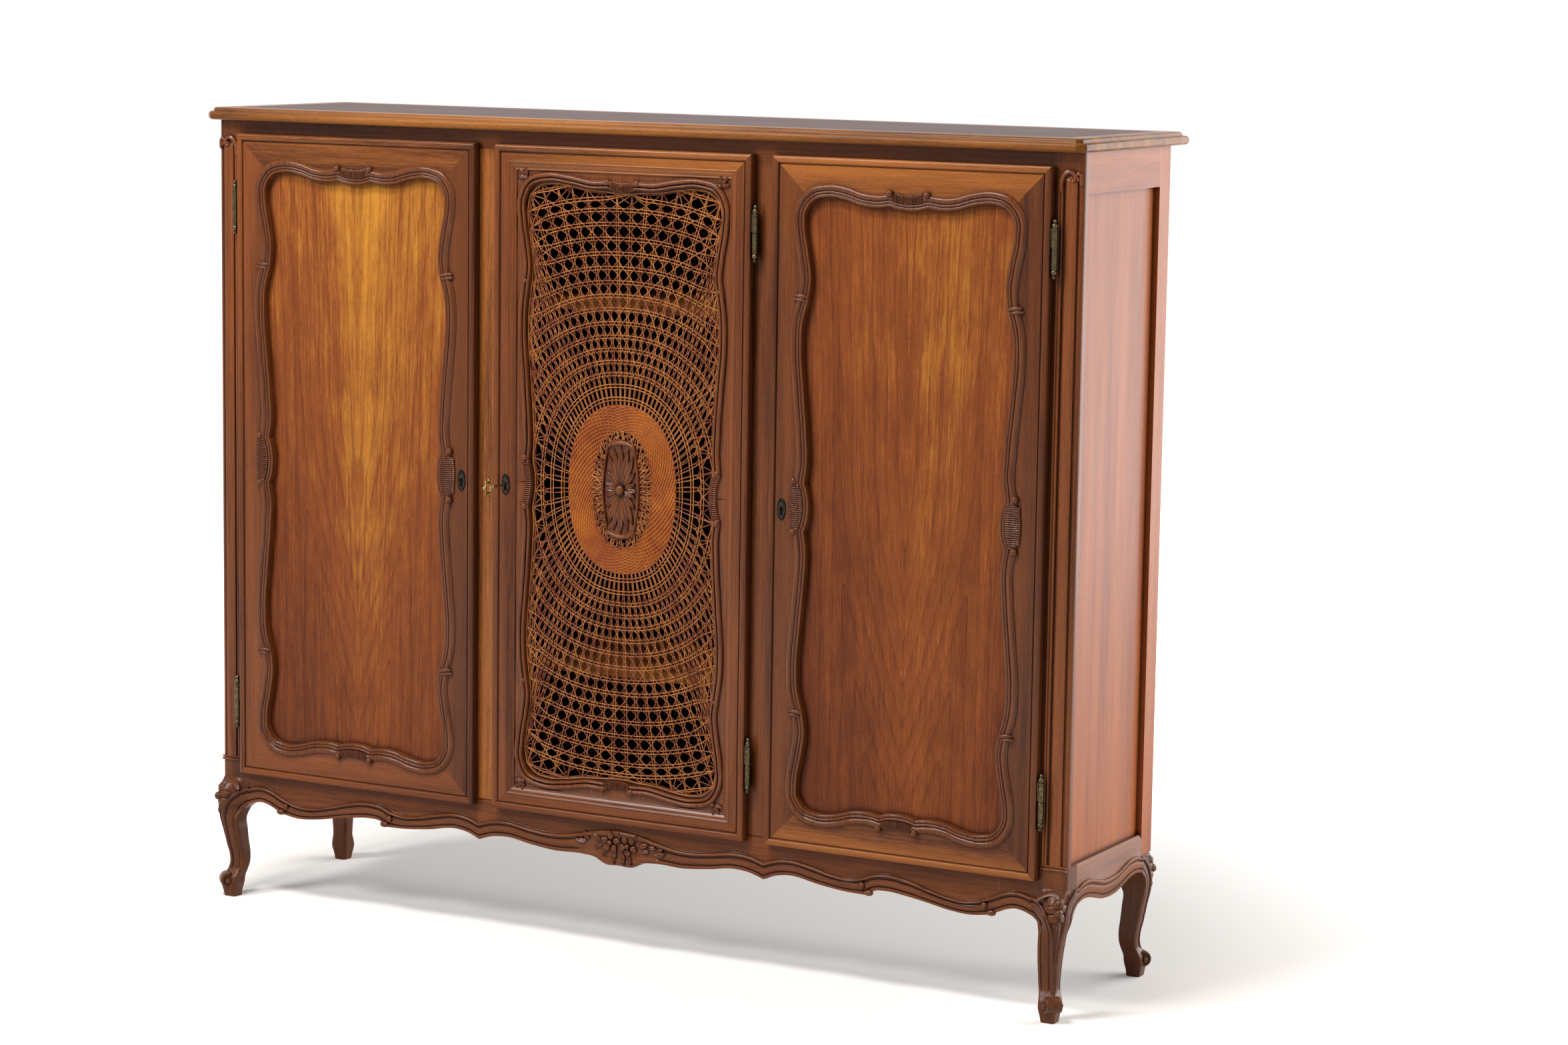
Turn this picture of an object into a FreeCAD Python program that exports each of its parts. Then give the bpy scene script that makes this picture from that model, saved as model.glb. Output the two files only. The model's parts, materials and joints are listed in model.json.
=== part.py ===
"""Three-door credenza: carved walnut case on cabriole legs, with a caned middle door.

Frame: +X to the right, +Y to the back, +Z up, millimetres. The origin lies on the floor under the middle
of the whole object, key included.
"""
import FreeCAD, Part

import math
import os
import re

from FreeCAD import Vector

SIZES = {
    # Case and top board
    "case_depth": "348",
    "frieze_height": "23.5",
    "top_thickness": "22",
    "top_side_overhang": "11",
    "top_front_overhang": "31",
    "top_rear_overhang": "51",
    "top_step_height": "7",
    "top_step_width": "12",
    "top_corner_cut": "14",
    # Face frame, posts and sides
    "post_width": "60",
    "post_depth": "42",
    "post_round": "16",
    "side_seam_depth": "16",
    "side_rail_thickness": "20",
    "side_rail_height": "67",
    "side_panel_thickness": "10",
    "frame_thickness": "26",
    "leg_height": "222",
    "door_rise": "13",
    "side_apron_rise": "13",
    "apron_thickness": "22",
    "carving_half_width": "98",
    "carving_half_height": "30",
    "carving_drop": "50",
    "carving_depth": "11",
    "bottom_thickness": "20",
    "board_thickness": "18",
    "back_thickness": "8",
    "back_setback": "2",
    "rear_rail_height": "40",
    "shelf_spacing": "636",
    "shelf_clearance": "2",
    "cleat_size": "15",
    # Doors
    "door_width": "507.5",
    "door_gap": "39.5",
    "door_height": "1166.5",
    "door_proud": "18",
    "door_clearance": "0.5",
    "door_overlay": "10",
    "inset_clearance": "2.5",
    "inset_depth": "9",
    "lip_width": "12",
    "lip_height": "3",
    "bar_width": "92",
    "rebate_offset": "38",
    "panel_recess": "10",
    "panel_thickness": "8",
    "panel_clearance": "0.5",
    "moulding_width": "20",
    "crest_width": "11",
    "moulding_height": "6",
    "crest_height": "3",
    # Caned middle door
    "border_seat": "4",
    "border_recess": "7",
    "border_thickness": "7",
    "cane_thickness": "1.5",
    "weave_half_width": "107",
    "weave_half_height": "148",
    "ring_spacing": "34",
    "cane_rib": "6",
    "cane_margin": "5",
    "medallion_half_width": "36",
    "medallion_half_height": "82",
    "medallion_depth": "8",
    # Hinges
    "hinge_reach": "6.5",
    "hinge_setback": "13",
    "barrel_radius": "5",
    "barrel_length": "36.5",
    "barrel_gap": "0.2",
    "leaf_thickness": "2",
    "leaf_margin": "2",
    "leaf_overlap": "1.5",
    "pin_radius": "2.5",
    "pin_clearance": "0.05",
    "bore_stop": "2",
    "pin_stop": "3",
    "finial_radius": "4.2",
    "finial_tip_radius": "3",
    "finial_rise": "3",
    "finial_tip_rise": "8.4",
    "hinge_from_end": "132",
    # Locks and key
    "lock_backset": "26",
    "lock_height": "577",
    "case_height": "70",
    "case_wall": "3",
    "case_inset_depth": "13",
    "bolt_rise": "14",
    "bolt_height": "12",
    "bolt_thickness": "5",
    "bolt_length": "21",
    "bolt_setback": "0.5",
    "bolt_clearance": "0.3",
    "bolt_throw": "9",
    "strike_spare": "2",
    "escutcheon_half_width": "8",
    "escutcheon_half_height": "19",
    "escutcheon_thickness": "2",
    "keyhole_radius": "2.6",
    "keyhole_drop": "9",
    "keyhole_slot": "2.8",
    "ward_radius": "9",
    "key_radius": "2.2",
    "key_reach": "86",
    "key_bit_drop": "7",
    "key_bit_length": "5",
    "key_end_clearance": "0.5",
    "bow_radius": "10",
    "bow_wire": "2.2",
}

# The sinuous door moulding, a quarter of its centre line from the top middle to the side middle,
# as distances from the door's centre at the nominal door size.
MOULDING_QUARTER = [
    (0, 519), (50, 515), (85, 516), (118, 525), (150, 528), (180, 520), (199, 495), (200, 465),
    (192, 420), (187, 378), (192, 348), (201, 312), (203, 265), (198, 200), (191, 120), (190, 75),
    (194, 38), (192, 0),
]

# The inner edge of the carved border round the cane, in the same way.
BORDER_QUARTER = [
    (0, 511), (60, 515), (105, 521), (150, 523), (181, 514), (195, 490), (193, 455), (185, 405),
    (182, 370), (185, 342), (191, 300), (192, 262), (187, 190), (182, 110), (183, 50), (180, 0),
]

# Lower edge of the front apron: share of its half length, and drop below the bottom board's top.
FRONT_WAVE = [
    (0, 84), (0.036, 84), (0.066, 72), (0.1, 71), (0.165, 72), (0.228, 67), (0.288, 60), (0.333, 63),
    (0.365, 71), (0.424, 58), (0.51, 67), (0.595, 72.5), (0.627, 68), (0.66, 62), (0.71, 65),
    (0.81, 78), (0.862, 81), (0.895, 77), (0.936, 67), (0.966, 64), (1, 69),
]

# Lower edge of a side apron: share of its length, and drop below the bottom board's top.
SIDE_WAVE = [(0, 55), (0.14, 47), (0.3, 53), (0.5, 61), (0.7, 53), (0.86, 47), (1, 55)]

# Cabriole leg from the floor up: share of its height, how far its side and front faces lie inside the
# post's faces, and the section's width and depth.
LEG_SECTIONS = [
    (0, 10.5, -14, 25, 25), (0.045, 8.5, -16, 29, 29), (0.115, 4.5, -20.5, 35, 35),
    (0.17, 7, -17, 34, 34), (0.215, 14.5, -6.5, 29, 29), (0.27, 16, -4, 28, 28),
    (0.36, 15, -5, 30, 30), (0.45, 11.5, -10.5, 33, 33), (0.56, 7, -15.5, 36, 36),
    (0.675, 2, -20.5, 40, 40), (0.79, 0, -23, 46, 46), (0.88, 0, -22, 56, 52),
    (0.955, 0, -12, 58.5, 51), (1, 0, 0, 59, 42),
]
LEG_ROUND = 0.22

# The door size at which the quarter outlines above were taken.
NOMINAL_DOOR = (507.5, 1166.5)
CANE_SPOKES = 40
# How far a cutting solid runs past the face that it opens.
OVERRUN = "1"
SIZE_NAME = re.compile(r"[a-z]+(?:_[a-z]+)+")

# Places along the depth and the height, as formulas of the sizes.
FRAME_FRONT = "((key_reach - case_depth - top_rear_overhang) / 2)"
CASE_BACK = f"({FRAME_FRONT} + case_depth)"
DOOR_CREST = f"({FRAME_FRONT} - door_proud)"
DOOR_FIELD = f"({DOOR_CREST} + lip_height)"
DOOR_REAR = f"({FRAME_FRONT} + inset_depth)"
OVERLAY_REAR = f"({FRAME_FRONT} - door_clearance)"
PANEL_FRONT = f"({DOOR_FIELD} + panel_recess)"
BORDER_FRONT = f"({DOOR_FIELD} + border_recess)"
CANE_FRONT = f"({BORDER_FRONT} + border_thickness)"
DOOR_BOTTOM = "(leg_height + door_rise)"
TOP_UNDERSIDE = f"({DOOR_BOTTOM} + door_height + frieze_height)"
TOP_STEP = f"({TOP_UNDERSIDE} + top_thickness - top_step_height)"
TOP_SURFACE = f"({TOP_UNDERSIDE} + top_thickness)"
BOARD_TOP = f"({DOOR_BOTTOM} + door_overlay)"
BOARD_UNDER = f"({BOARD_TOP} - bottom_thickness)"
FRAME_HEAD = f"({DOOR_BOTTOM} + door_height - door_overlay)"
POST_INNER = "(1.5 * door_width + door_gap - door_overlay)"
CASE_HALF = f"({POST_INNER} + post_width)"
SIDE_INNER = f"({CASE_HALF} - side_rail_thickness)"
SIDE_APRON_TOP = f"({BOARD_TOP} + side_apron_rise)"
SIDE_FRONT = f"({FRAME_FRONT} + side_seam_depth)"
POST_BACK = f"({FRAME_FRONT} + post_depth)"
REAR_POST_FRONT = f"({CASE_BACK} - post_depth)"
BACK_FRONT = f"({CASE_BACK} - back_setback - back_thickness)"
MULLION_NEAR = "(door_width / 2 - door_overlay)"
MULLION_FAR = "(door_width / 2 + door_gap + door_overlay)"
MULLION_MIDDLE = "((door_width + door_gap) / 2)"
HINGE_AXIS_Y = f"({FRAME_FRONT} - hinge_setback)"
LOCK_LEVEL = f"({DOOR_BOTTOM} + lock_height)"
DOOR_CENTRE_Z = f"({DOOR_BOTTOM} + door_height / 2)"
INSET_EDGE = "(door_overlay + inset_clearance)"
HALF_DOOR = "(door_width / 2)"
LOCK_EDGE = f"({HALF_DOOR} - {INSET_EDGE})"
LOCK_INNER = f"({HALF_DOOR} - rebate_offset)"
KEY_OFFSET = f"({HALF_DOOR} - lock_backset)"
CASE_FRONT = f"({DOOR_REAR} - case_inset_depth)"
CASE_SPAN_Z = (f"{LOCK_LEVEL} - case_height / 2", f"{LOCK_LEVEL} + case_height / 2")
BOLT_Y = f"({FRAME_FRONT} + (inset_depth - bolt_thickness) / 2)"
BOLT_Z = f"({LOCK_LEVEL} + bolt_rise)"
PARTITION_NEAR = f"({MULLION_MIDDLE} - board_thickness / 2)"
PARTITION_FAR = f"({MULLION_MIDDLE} + board_thickness / 2)"

doc = FreeCAD.newDocument("credenza")
sheet = doc.addObject("Spreadsheet::Sheet", "Sizes")
for row, (alias, text) in enumerate(SIZES.items(), start=1):
    sheet.set(f"A{row}", alias)
    sheet.set(f"B{row}", text)
    sheet.setAlias(f"B{row}", alias)
doc.recompute()
size = {alias: float(sheet.get(alias)) for alias in SIZES}
# The same places as numbers, for outlines that are drawn point by point.
frame_front = (size["key_reach"] - size["case_depth"] - size["top_rear_overhang"]) / 2
post_inner = 1.5 * size["door_width"] + size["door_gap"] - size["door_overlay"]
case_half = post_inner + size["post_width"]
board_top = size["leg_height"] + size["door_rise"] + size["door_overlay"]


def bind(thing, target, formula):
    """Tie a property to a formula of the sheet's sizes."""
    thing.setExpression(target, SIZE_NAME.sub(lambda found: "Sizes." + found.group(), formula))


def place(thing, x=None, y=None, z=None):
    """Tie the place of a piece to formulas."""
    for axis, formula in zip("xyz", (x, y, z)):
        if formula is not None:
            bind(thing, f"Placement.Base.{axis}", formula)
    return thing


def box(name, x, y, z):
    """Plank between two formulas along each axis."""
    plank = doc.addObject("Part::Box", name)
    for target, (low, high) in zip(("Length", "Width", "Height"), (x, y, z)):
        bind(plank, target, f"({high}) - ({low})")
    return place(plank, x[0], y[0], z[0])


def cylinder(name, radius, length, x, y, z, along_depth=False):
    """Round bar that stands on its place, or runs back from it along the depth."""
    bar = doc.addObject("Part::Cylinder", name)
    bind(bar, "Radius", radius)
    bind(bar, "Height", length)
    if along_depth:
        bar.Placement = FreeCAD.Placement(Vector(0, 0, 0), FreeCAD.Rotation(Vector(1, 0, 0), -90))
    return place(bar, x, y, z)


def sphere(name, radius, x, y, z):
    """Ball about its place."""
    ball = doc.addObject("Part::Sphere", name)
    bind(ball, "Radius", radius)
    return place(ball, x, y, z)


def fuse(name, pieces):
    """One solid of several touching ones."""
    whole = doc.addObject("Part::MultiFuse", name)
    whole.Shapes = pieces
    whole.Refine = True
    return whole


def cut(name, base, tools):
    """A piece with one or more others taken out of it."""
    rest = doc.addObject("Part::Cut", name)
    rest.Base = base
    rest.Tool = tools[0] if len(tools) == 1 else group(name + "_tools", tools)
    return rest


def group(name, pieces):
    """Separate solids that share one node."""
    set_of_pieces = doc.addObject("Part::Compound", name)
    set_of_pieces.Links = pieces
    return set_of_pieces


def mirrored(name, source, across, base_y=None):
    """The same piece on the other side of a plane."""
    twin = doc.addObject("Part::Mirroring", name)
    twin.Source = source
    twin.Normal = across
    if base_y is not None:
        bind(twin, "Base.y", base_y)
    return twin


def outline(name, shape):
    """Flat outline kept as an object of the document."""
    flat = doc.addObject("Part::Feature", name)
    flat.Shape = shape
    return flat


def plate(name, shape, direction, depth, x=None, y=None, z=None):
    """Outline carried straight along an axis."""
    solid = doc.addObject("Part::Extrusion", name)
    solid.Base = outline(name + "_outline", shape)
    solid.DirMode = "Custom"
    solid.Dir = direction
    solid.Solid = True
    bind(solid, "LengthFwd", depth)
    return place(solid, x, y, z)


def front_plate(name, shape, y_span, x=None, z=None):
    """Outline in the front plane, given its thickness between two places along the depth."""
    return plate(name, shape, Vector(0, 1, 0), f"({y_span[1]}) - ({y_span[0]})", x, y_span[0], z)


def polygon(points):
    """Flat face inside straight edges."""
    return Part.Face(Part.makePolygon(points + points[:1]))


def upright(points):
    """Points of the front plane from pairs across and up."""
    return [Vector(across, 0, up) for across, up in points]


def side_span(centre, sign, near, far):
    """Span along X from near to far on one side of a centre."""
    if sign > 0:
        return f"{centre} + ({near})", f"{centre} + ({far})"
    return f"{centre} - ({far})", f"{centre} - ({near})"


def side_place(centre, sign, reach):
    """Place along X at a reach on one side of a centre."""
    return f"{centre} {'+' if sign > 0 else '-'} ({reach})"


def closed_curve(quarter, outward=0.0):
    """Face inside a closed curve: a quarter mirrored about both middle lines, then moved outward."""
    scale_u = size["door_width"] / NOMINAL_DOOR[0]
    scale_w = size["door_height"] / NOMINAL_DOOR[1]
    first = [(u * scale_u, w * scale_w) for u, w in quarter]
    second = [(u, -w) for u, w in reversed(first[:-1])]
    right = first + second
    ring = right + [(-u, w) for u, w in reversed(right[1:-1])]
    moved = []
    for index, (u, w) in enumerate(ring):
        before, after = ring[index - 1], ring[(index + 1) % len(ring)]
        along_u, along_w = after[0] - before[0], after[1] - before[1]
        length = math.hypot(along_u, along_w)
        moved.append((u - outward * along_w / length, w + outward * along_u / length))
    curve = Part.BSplineCurve()
    curve.interpolate(upright(moved), PeriodicFlag=True)
    return Part.Face(Part.Wire(curve.toShape()))


def ellipse(half_width, half_height, across=0.0, up=0.0):
    """Face inside an upright or lying ellipse of the front plane."""
    centre = Vector(across, 0, up)
    tips = [Vector(across + half_width, 0, up), Vector(across, 0, up + half_height)]
    long_tip, short_tip = tips if half_width > half_height else tips[::-1]
    return Part.Face(Part.Wire(Part.Ellipse(long_tip, short_tip, centre).toShape()))


def mitred_bar(side, outer, inner):
    """Face of one frame member between two offsets from the door's edge, mitred at both ends."""
    half_u, half_w = size["door_width"] / 2, size["door_height"] / 2
    corners = [(-1, -1), (-1, 1), (1, 1), (1, -1)]
    start = {"left": 0, "top": 1, "right": 2, "bottom": 3}[side]
    ends = [corners[start], corners[(start + 1) % 4]]
    points = [(u * (half_u - outer), w * (half_w - outer)) for u, w in ends]
    points += [(u * (half_u - inner), w * (half_w - inner)) for u, w in reversed(ends)]
    return polygon(upright(points))


def wave_edge(points):
    """Smooth edge through the points of a scalloped board."""
    curve = Part.BSplineCurve()
    curve.interpolate(points)
    return curve.toShape()


def build_top_board():
    """Stepped top with its two front corners cut off."""
    front = f"{FRAME_FRONT} - top_front_overhang"
    depth = size["top_front_overhang"] + size["case_depth"] + size["top_rear_overhang"]
    half = case_half + size["top_side_overhang"]
    layers = []
    for name, inset, low, high in (
        ("edge", 0.0, TOP_UNDERSIDE, TOP_STEP),
        ("upper", size["top_step_width"], TOP_STEP, TOP_SURFACE),
    ):
        half_width, corner = half - inset, size["top_corner_cut"]
        points = [(-half_width, inset + corner), (-half_width, depth - inset), (half_width, depth - inset),
                  (half_width, inset + corner), (half_width - corner, inset), (corner - half_width, inset)]
        face = polygon([Vector(across, back, 0) for across, back in points])
        layers.append(plate(f"top_{name}", face, Vector(0, 0, 1), f"({high}) - ({low})", y=front, z=low))
    return {"top_board": fuse("top_board", layers)}


def build_posts():
    """Front posts with a rounded corner and a rebate for the side, plain rear posts."""
    width, depth, radius = size["post_width"], size["post_depth"], size["post_round"]
    turn = radius * (1 - math.sqrt(0.5))
    start, end = Vector(width - radius, 0, 0), Vector(width, radius, 0)
    corner = Part.Arc(start, Vector(width - turn, turn, 0), end).toShape()
    straight = Part.makePolygon([end, Vector(width, depth, 0), Vector(0, depth, 0), Vector(0, 0, 0), start])
    edges = [corner] + straight.Edges
    height = f"{TOP_UNDERSIDE} - leg_height"
    section = Part.Face(Part.Wire(edges))
    bar = plate("post_bar", section, Vector(0, 0, 1), height, POST_INNER, FRAME_FRONT, "leg_height")
    rebate = box("post_rebate", (SIDE_INNER, f"{CASE_HALF} + {OVERRUN}"),
                 (SIDE_FRONT, f"{POST_BACK} + {OVERRUN}"), (SIDE_APRON_TOP, TOP_SURFACE))
    right_front = cut("right_front_post", bar, [rebate])
    right_rear = box("right_rear_post", (POST_INNER, CASE_HALF), (REAR_POST_FRONT, CASE_BACK),
                     ("leg_height", TOP_UNDERSIDE))
    across = Vector(1, 0, 0)
    return {"right_front_post": right_front, "right_rear_post": right_rear,
            "left_front_post": mirrored("left_front_post", right_front, across),
            "left_rear_post": mirrored("left_rear_post", right_rear, across)}


def build_sides():
    """Side top rails, recessed panels and scalloped aprons."""
    y_span = (SIDE_FRONT, REAR_POST_FRONT)
    rail = box("right_side_rail", (SIDE_INNER, CASE_HALF), y_span,
               (f"{TOP_UNDERSIDE} - side_rail_height", TOP_UNDERSIDE))
    panel = box("right_side_panel", (SIDE_INNER, f"{SIDE_INNER} + side_panel_thickness"), y_span,
                (SIDE_APRON_TOP, f"{TOP_UNDERSIDE} - side_rail_height"))
    length = size["case_depth"] - 2 * size["post_depth"]
    top = board_top + size["side_apron_rise"]
    lower = [Vector(0, share * length, board_top - drop) for share, drop in SIDE_WAVE]
    frame = Part.makePolygon([lower[-1], Vector(0, length, top), Vector(0, 0, top), lower[0]])
    face = Part.Face(Part.Wire([wave_edge(lower)] + frame.Edges))
    apron = plate("right_apron", face, Vector(1, 0, 0), "side_rail_thickness", SIDE_INNER, POST_BACK)
    nodes = {}
    for piece in (rail, panel, apron):
        nodes[piece.Name] = piece
        twin = piece.Name.replace("right", "left")
        nodes[twin] = mirrored(twin, piece, Vector(1, 0, 0))
    return nodes


def build_front_frame():
    """Top rail, mullions with strike mortises, and the scalloped front apron with its carved middle."""
    depth = (FRAME_FRONT, f"{FRAME_FRONT} + frame_thickness")
    rail = box("front_top_rail", (f"-{POST_INNER}", POST_INNER), depth, (FRAME_HEAD, TOP_UNDERSIDE))
    nodes = {"front_top_rail": rail}
    strike_y = (f"{BOLT_Y} - 2 * bolt_clearance", f"{BOLT_Y} + bolt_thickness + 2 * bolt_clearance")
    strike_z = (f"{BOLT_Z} - 2 * bolt_clearance", f"{BOLT_Z} + bolt_height + 2 * bolt_clearance")
    strike_depth = "(bolt_throw + strike_spare)"
    outer_strike = (f"{MULLION_FAR} - {strike_depth}", f"{MULLION_FAR} + {OVERRUN}")
    inner_strike = (f"{MULLION_NEAR} - {OVERRUN}", f"{MULLION_NEAR} + {strike_depth}")
    for name, sign in (("left", -1), ("right", 1)):
        x_span = side_span("0", sign, MULLION_NEAR, MULLION_FAR)
        bar = box(f"{name}_mullion_bar", x_span, depth, (BOARD_TOP, FRAME_HEAD))
        strikes = [box(f"{name}_outer_strike", side_span("0", sign, *outer_strike), strike_y, strike_z)]
        if sign < 0:
            strikes.append(box("middle_strike", side_span("0", sign, *inner_strike), strike_y, strike_z))
        nodes[f"{name}_mullion"] = cut(f"{name}_mullion", bar, strikes)

    right = [(share * post_inner, board_top - drop) for share, drop in FRONT_WAVE]
    lower = upright([(-across, up) for across, up in reversed(right[1:])] + right)
    corners = upright([(post_inner, board_top), (-post_inner, board_top)])
    frame = Part.makePolygon([lower[-1]] + corners + [lower[0]])
    face = Part.Face(Part.Wire([wave_edge(lower)] + frame.Edges))
    board = front_plate("apron_board", face, (FRAME_FRONT, f"{FRAME_FRONT} + apron_thickness"))
    carving = ellipse(size["carving_half_width"], size["carving_half_height"])
    boss = front_plate("apron_boss", carving, (f"{FRAME_FRONT} - carving_depth", FRAME_FRONT),
                       z=f"{BOARD_TOP} - carving_drop")
    nodes["front_apron"] = fuse("front_apron", [board, boss])
    return nodes


def build_inside():
    """Bottom board, partitions, shelves on cleats, back panel and rear rail."""
    between_posts = (f"-{POST_INNER}", POST_INNER)
    board_z = (BOARD_UNDER, BOARD_TOP)
    apron_rear = f"({FRAME_FRONT} + apron_thickness)"
    nodes = {
        "bottom_board": fuse("bottom_board", [
            box("bottom_middle", between_posts, (apron_rear, BACK_FRONT), board_z),
            box("bottom_ends", (f"-{SIDE_INNER}", SIDE_INNER), (POST_BACK, REAR_POST_FRONT), board_z)]),
        "back_panel": box("back_panel", between_posts, (BACK_FRONT, f"{BACK_FRONT} + back_thickness"),
                          (BOARD_UNDER, TOP_UNDERSIDE)),
        "rear_rail": box("rear_rail", between_posts, (f"{CASE_BACK} - apron_thickness", CASE_BACK),
                         (f"{BOARD_UNDER} - rear_rail_height", BOARD_UNDER)),
    }
    frame_rear = f"({FRAME_FRONT} + frame_thickness)"
    for name, sign in (("left", -1), ("right", 1)):
        x_span = side_span("0", sign, PARTITION_NEAR, PARTITION_FAR)
        partition = box(f"{name}_partition", x_span, (frame_rear, BACK_FRONT), (BOARD_TOP, TOP_UNDERSIDE))
        nodes[partition.Name] = partition
    bays = {"left": (f"-{SIDE_INNER}", f"-{PARTITION_FAR}"), "middle": (f"-{PARTITION_NEAR}", PARTITION_NEAR),
            "right": (PARTITION_FAR, SIDE_INNER)}
    shelf_y = (f"{POST_BACK} + shelf_clearance", REAR_POST_FRONT)
    shelves, cleats = [], []
    for bay, (low, high) in bays.items():
        for level, sign in (("lower", "-"), ("upper", "+")):
            top = f"({DOOR_CENTRE_Z} {sign} shelf_spacing / 2)"
            under = f"({top} - board_thickness)"
            shelves.append(box(f"{bay}_{level}_shelf", (low, high), shelf_y, (under, top)))
            cleat_z = (f"{under} - cleat_size", under)
            for end, x_span in (("a", (low, f"{low} + cleat_size")), ("b", (f"{high} - cleat_size", high))):
                cleats.append(box(f"{bay}_{level}_cleat_{end}", x_span, shelf_y, cleat_z))
    nodes["shelves"] = group("shelves", shelves)
    nodes["shelf_cleats"] = group("shelf_cleats", cleats)
    return nodes


def leg_section(share, side_inset, front_inset, width, depth):
    """Rounded rectangle across a leg at a share of its height, in the right front leg's place."""
    right = case_half - side_inset
    near = frame_front + front_inset
    radius = LEG_ROUND * min(width, depth)
    left, far, level = right - width, near + depth, share * size["leg_height"]
    turn = radius * (1 - math.sqrt(0.5))
    corners = [(left, near, 1, 1), (right, near, -1, 1), (right, far, -1, -1), (left, far, 1, -1)]
    arcs = []
    for index, (x, y, inward_x, inward_y) in enumerate(corners):
        beside = [Vector(x, y + inward_y * radius, level), Vector(x + inward_x * radius, y, level)]
        start, end = beside if index % 2 == 0 else beside[::-1]
        arcs.append((start, Vector(x + inward_x * turn, y + inward_y * turn, level), end))
    edges = []
    for index, arc in enumerate(arcs):
        edges.append(Part.Arc(*arc).toShape())
        edges.append(Part.makeLine(arc[2], arcs[(index + 1) % 4][0]))
    return Part.Wire(edges)


def build_legs():
    """Cabriole legs: one lofted in the right front corner, the rest its mirror images."""
    sections = [outline(f"leg_section_{i}", leg_section(*row)) for i, row in enumerate(LEG_SECTIONS)]
    front_right = doc.addObject("Part::Loft", "front_right_leg")
    front_right.Sections = sections
    front_right.Solid = True
    case_middle = f"({FRAME_FRONT} + case_depth / 2)"
    rear_right = mirrored("rear_right_leg", front_right, Vector(0, 1, 0), case_middle)
    return {
        "front_right_leg": front_right,
        "rear_right_leg": rear_right,
        "front_left_leg": mirrored("front_left_leg", front_right, Vector(1, 0, 0)),
        "rear_left_leg": mirrored("rear_left_leg", rear_right, Vector(1, 0, 0)),
    }


def keyhole(name, x, y_span):
    """Round hole with a slot below it, right through the given depth."""
    length = f"({y_span[1]}) - ({y_span[0]})"
    hole = cylinder(f"{name}_hole", "keyhole_radius", length, x, y_span[0], LOCK_LEVEL, along_depth=True)
    slot = box(f"{name}_slot", (f"{x} - keyhole_slot / 2", f"{x} + keyhole_slot / 2"), y_span,
               (f"{LOCK_LEVEL} - keyhole_drop", LOCK_LEVEL))
    return [hole, slot]


def build_frame(door, centre, hinge, bar, front_depth, opening=None):
    """Four mitred members with a rounded lip, a rebate behind and the lock's mortise."""
    lip, rebate = size["lip_width"], size["rebate_offset"]
    inset = size["door_overlay"] + size["inset_clearance"]
    rebate_front = f"({DOOR_FIELD} + {front_depth})"
    layers = [
        ("lip", 0.0, lip, (DOOR_CREST, DOOR_FIELD)),
        ("face", 0.0, bar, (DOOR_FIELD, rebate_front)),
        ("overlay", 0.0, rebate, (rebate_front, OVERLAY_REAR)),
        ("inset", inset, rebate, (OVERLAY_REAR, DOOR_REAR)),
    ]
    stiles = ["hinge_stile", "lock_stile"][::-hinge]
    names = {"left": stiles[0], "right": stiles[1], "top": "top_rail", "bottom": "bottom_rail"}
    nodes = {}
    for side, part_name in names.items():
        name = f"{door}_{part_name}"
        pieces = []
        for layer, outer, inner, y_span in layers:
            face = mitred_bar(side, outer, inner)
            if layer == "face" and opening is not None:
                face = face.cut(opening)
            pieces.append(front_plate(f"{name}_{layer}", face, y_span, centre, DOOR_CENTRE_Z))
        member = fuse(f"{name}_bar", pieces)
        if part_name == "lock_stile":
            mortise = box(f"{door}_mortise", side_span(centre, -hinge, LOCK_INNER, LOCK_EDGE),
                          (CASE_FRONT, f"{DOOR_REAR} + {OVERRUN}"), CASE_SPAN_Z)
            x_key = side_place(centre, -hinge, KEY_OFFSET)
            holes = keyhole(f"{name}_key", x_key, (DOOR_CREST, f"{CASE_FRONT} + {OVERRUN}"))
            member = cut(name, member, [mortise] + holes)
        nodes[name] = member
    return nodes


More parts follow.
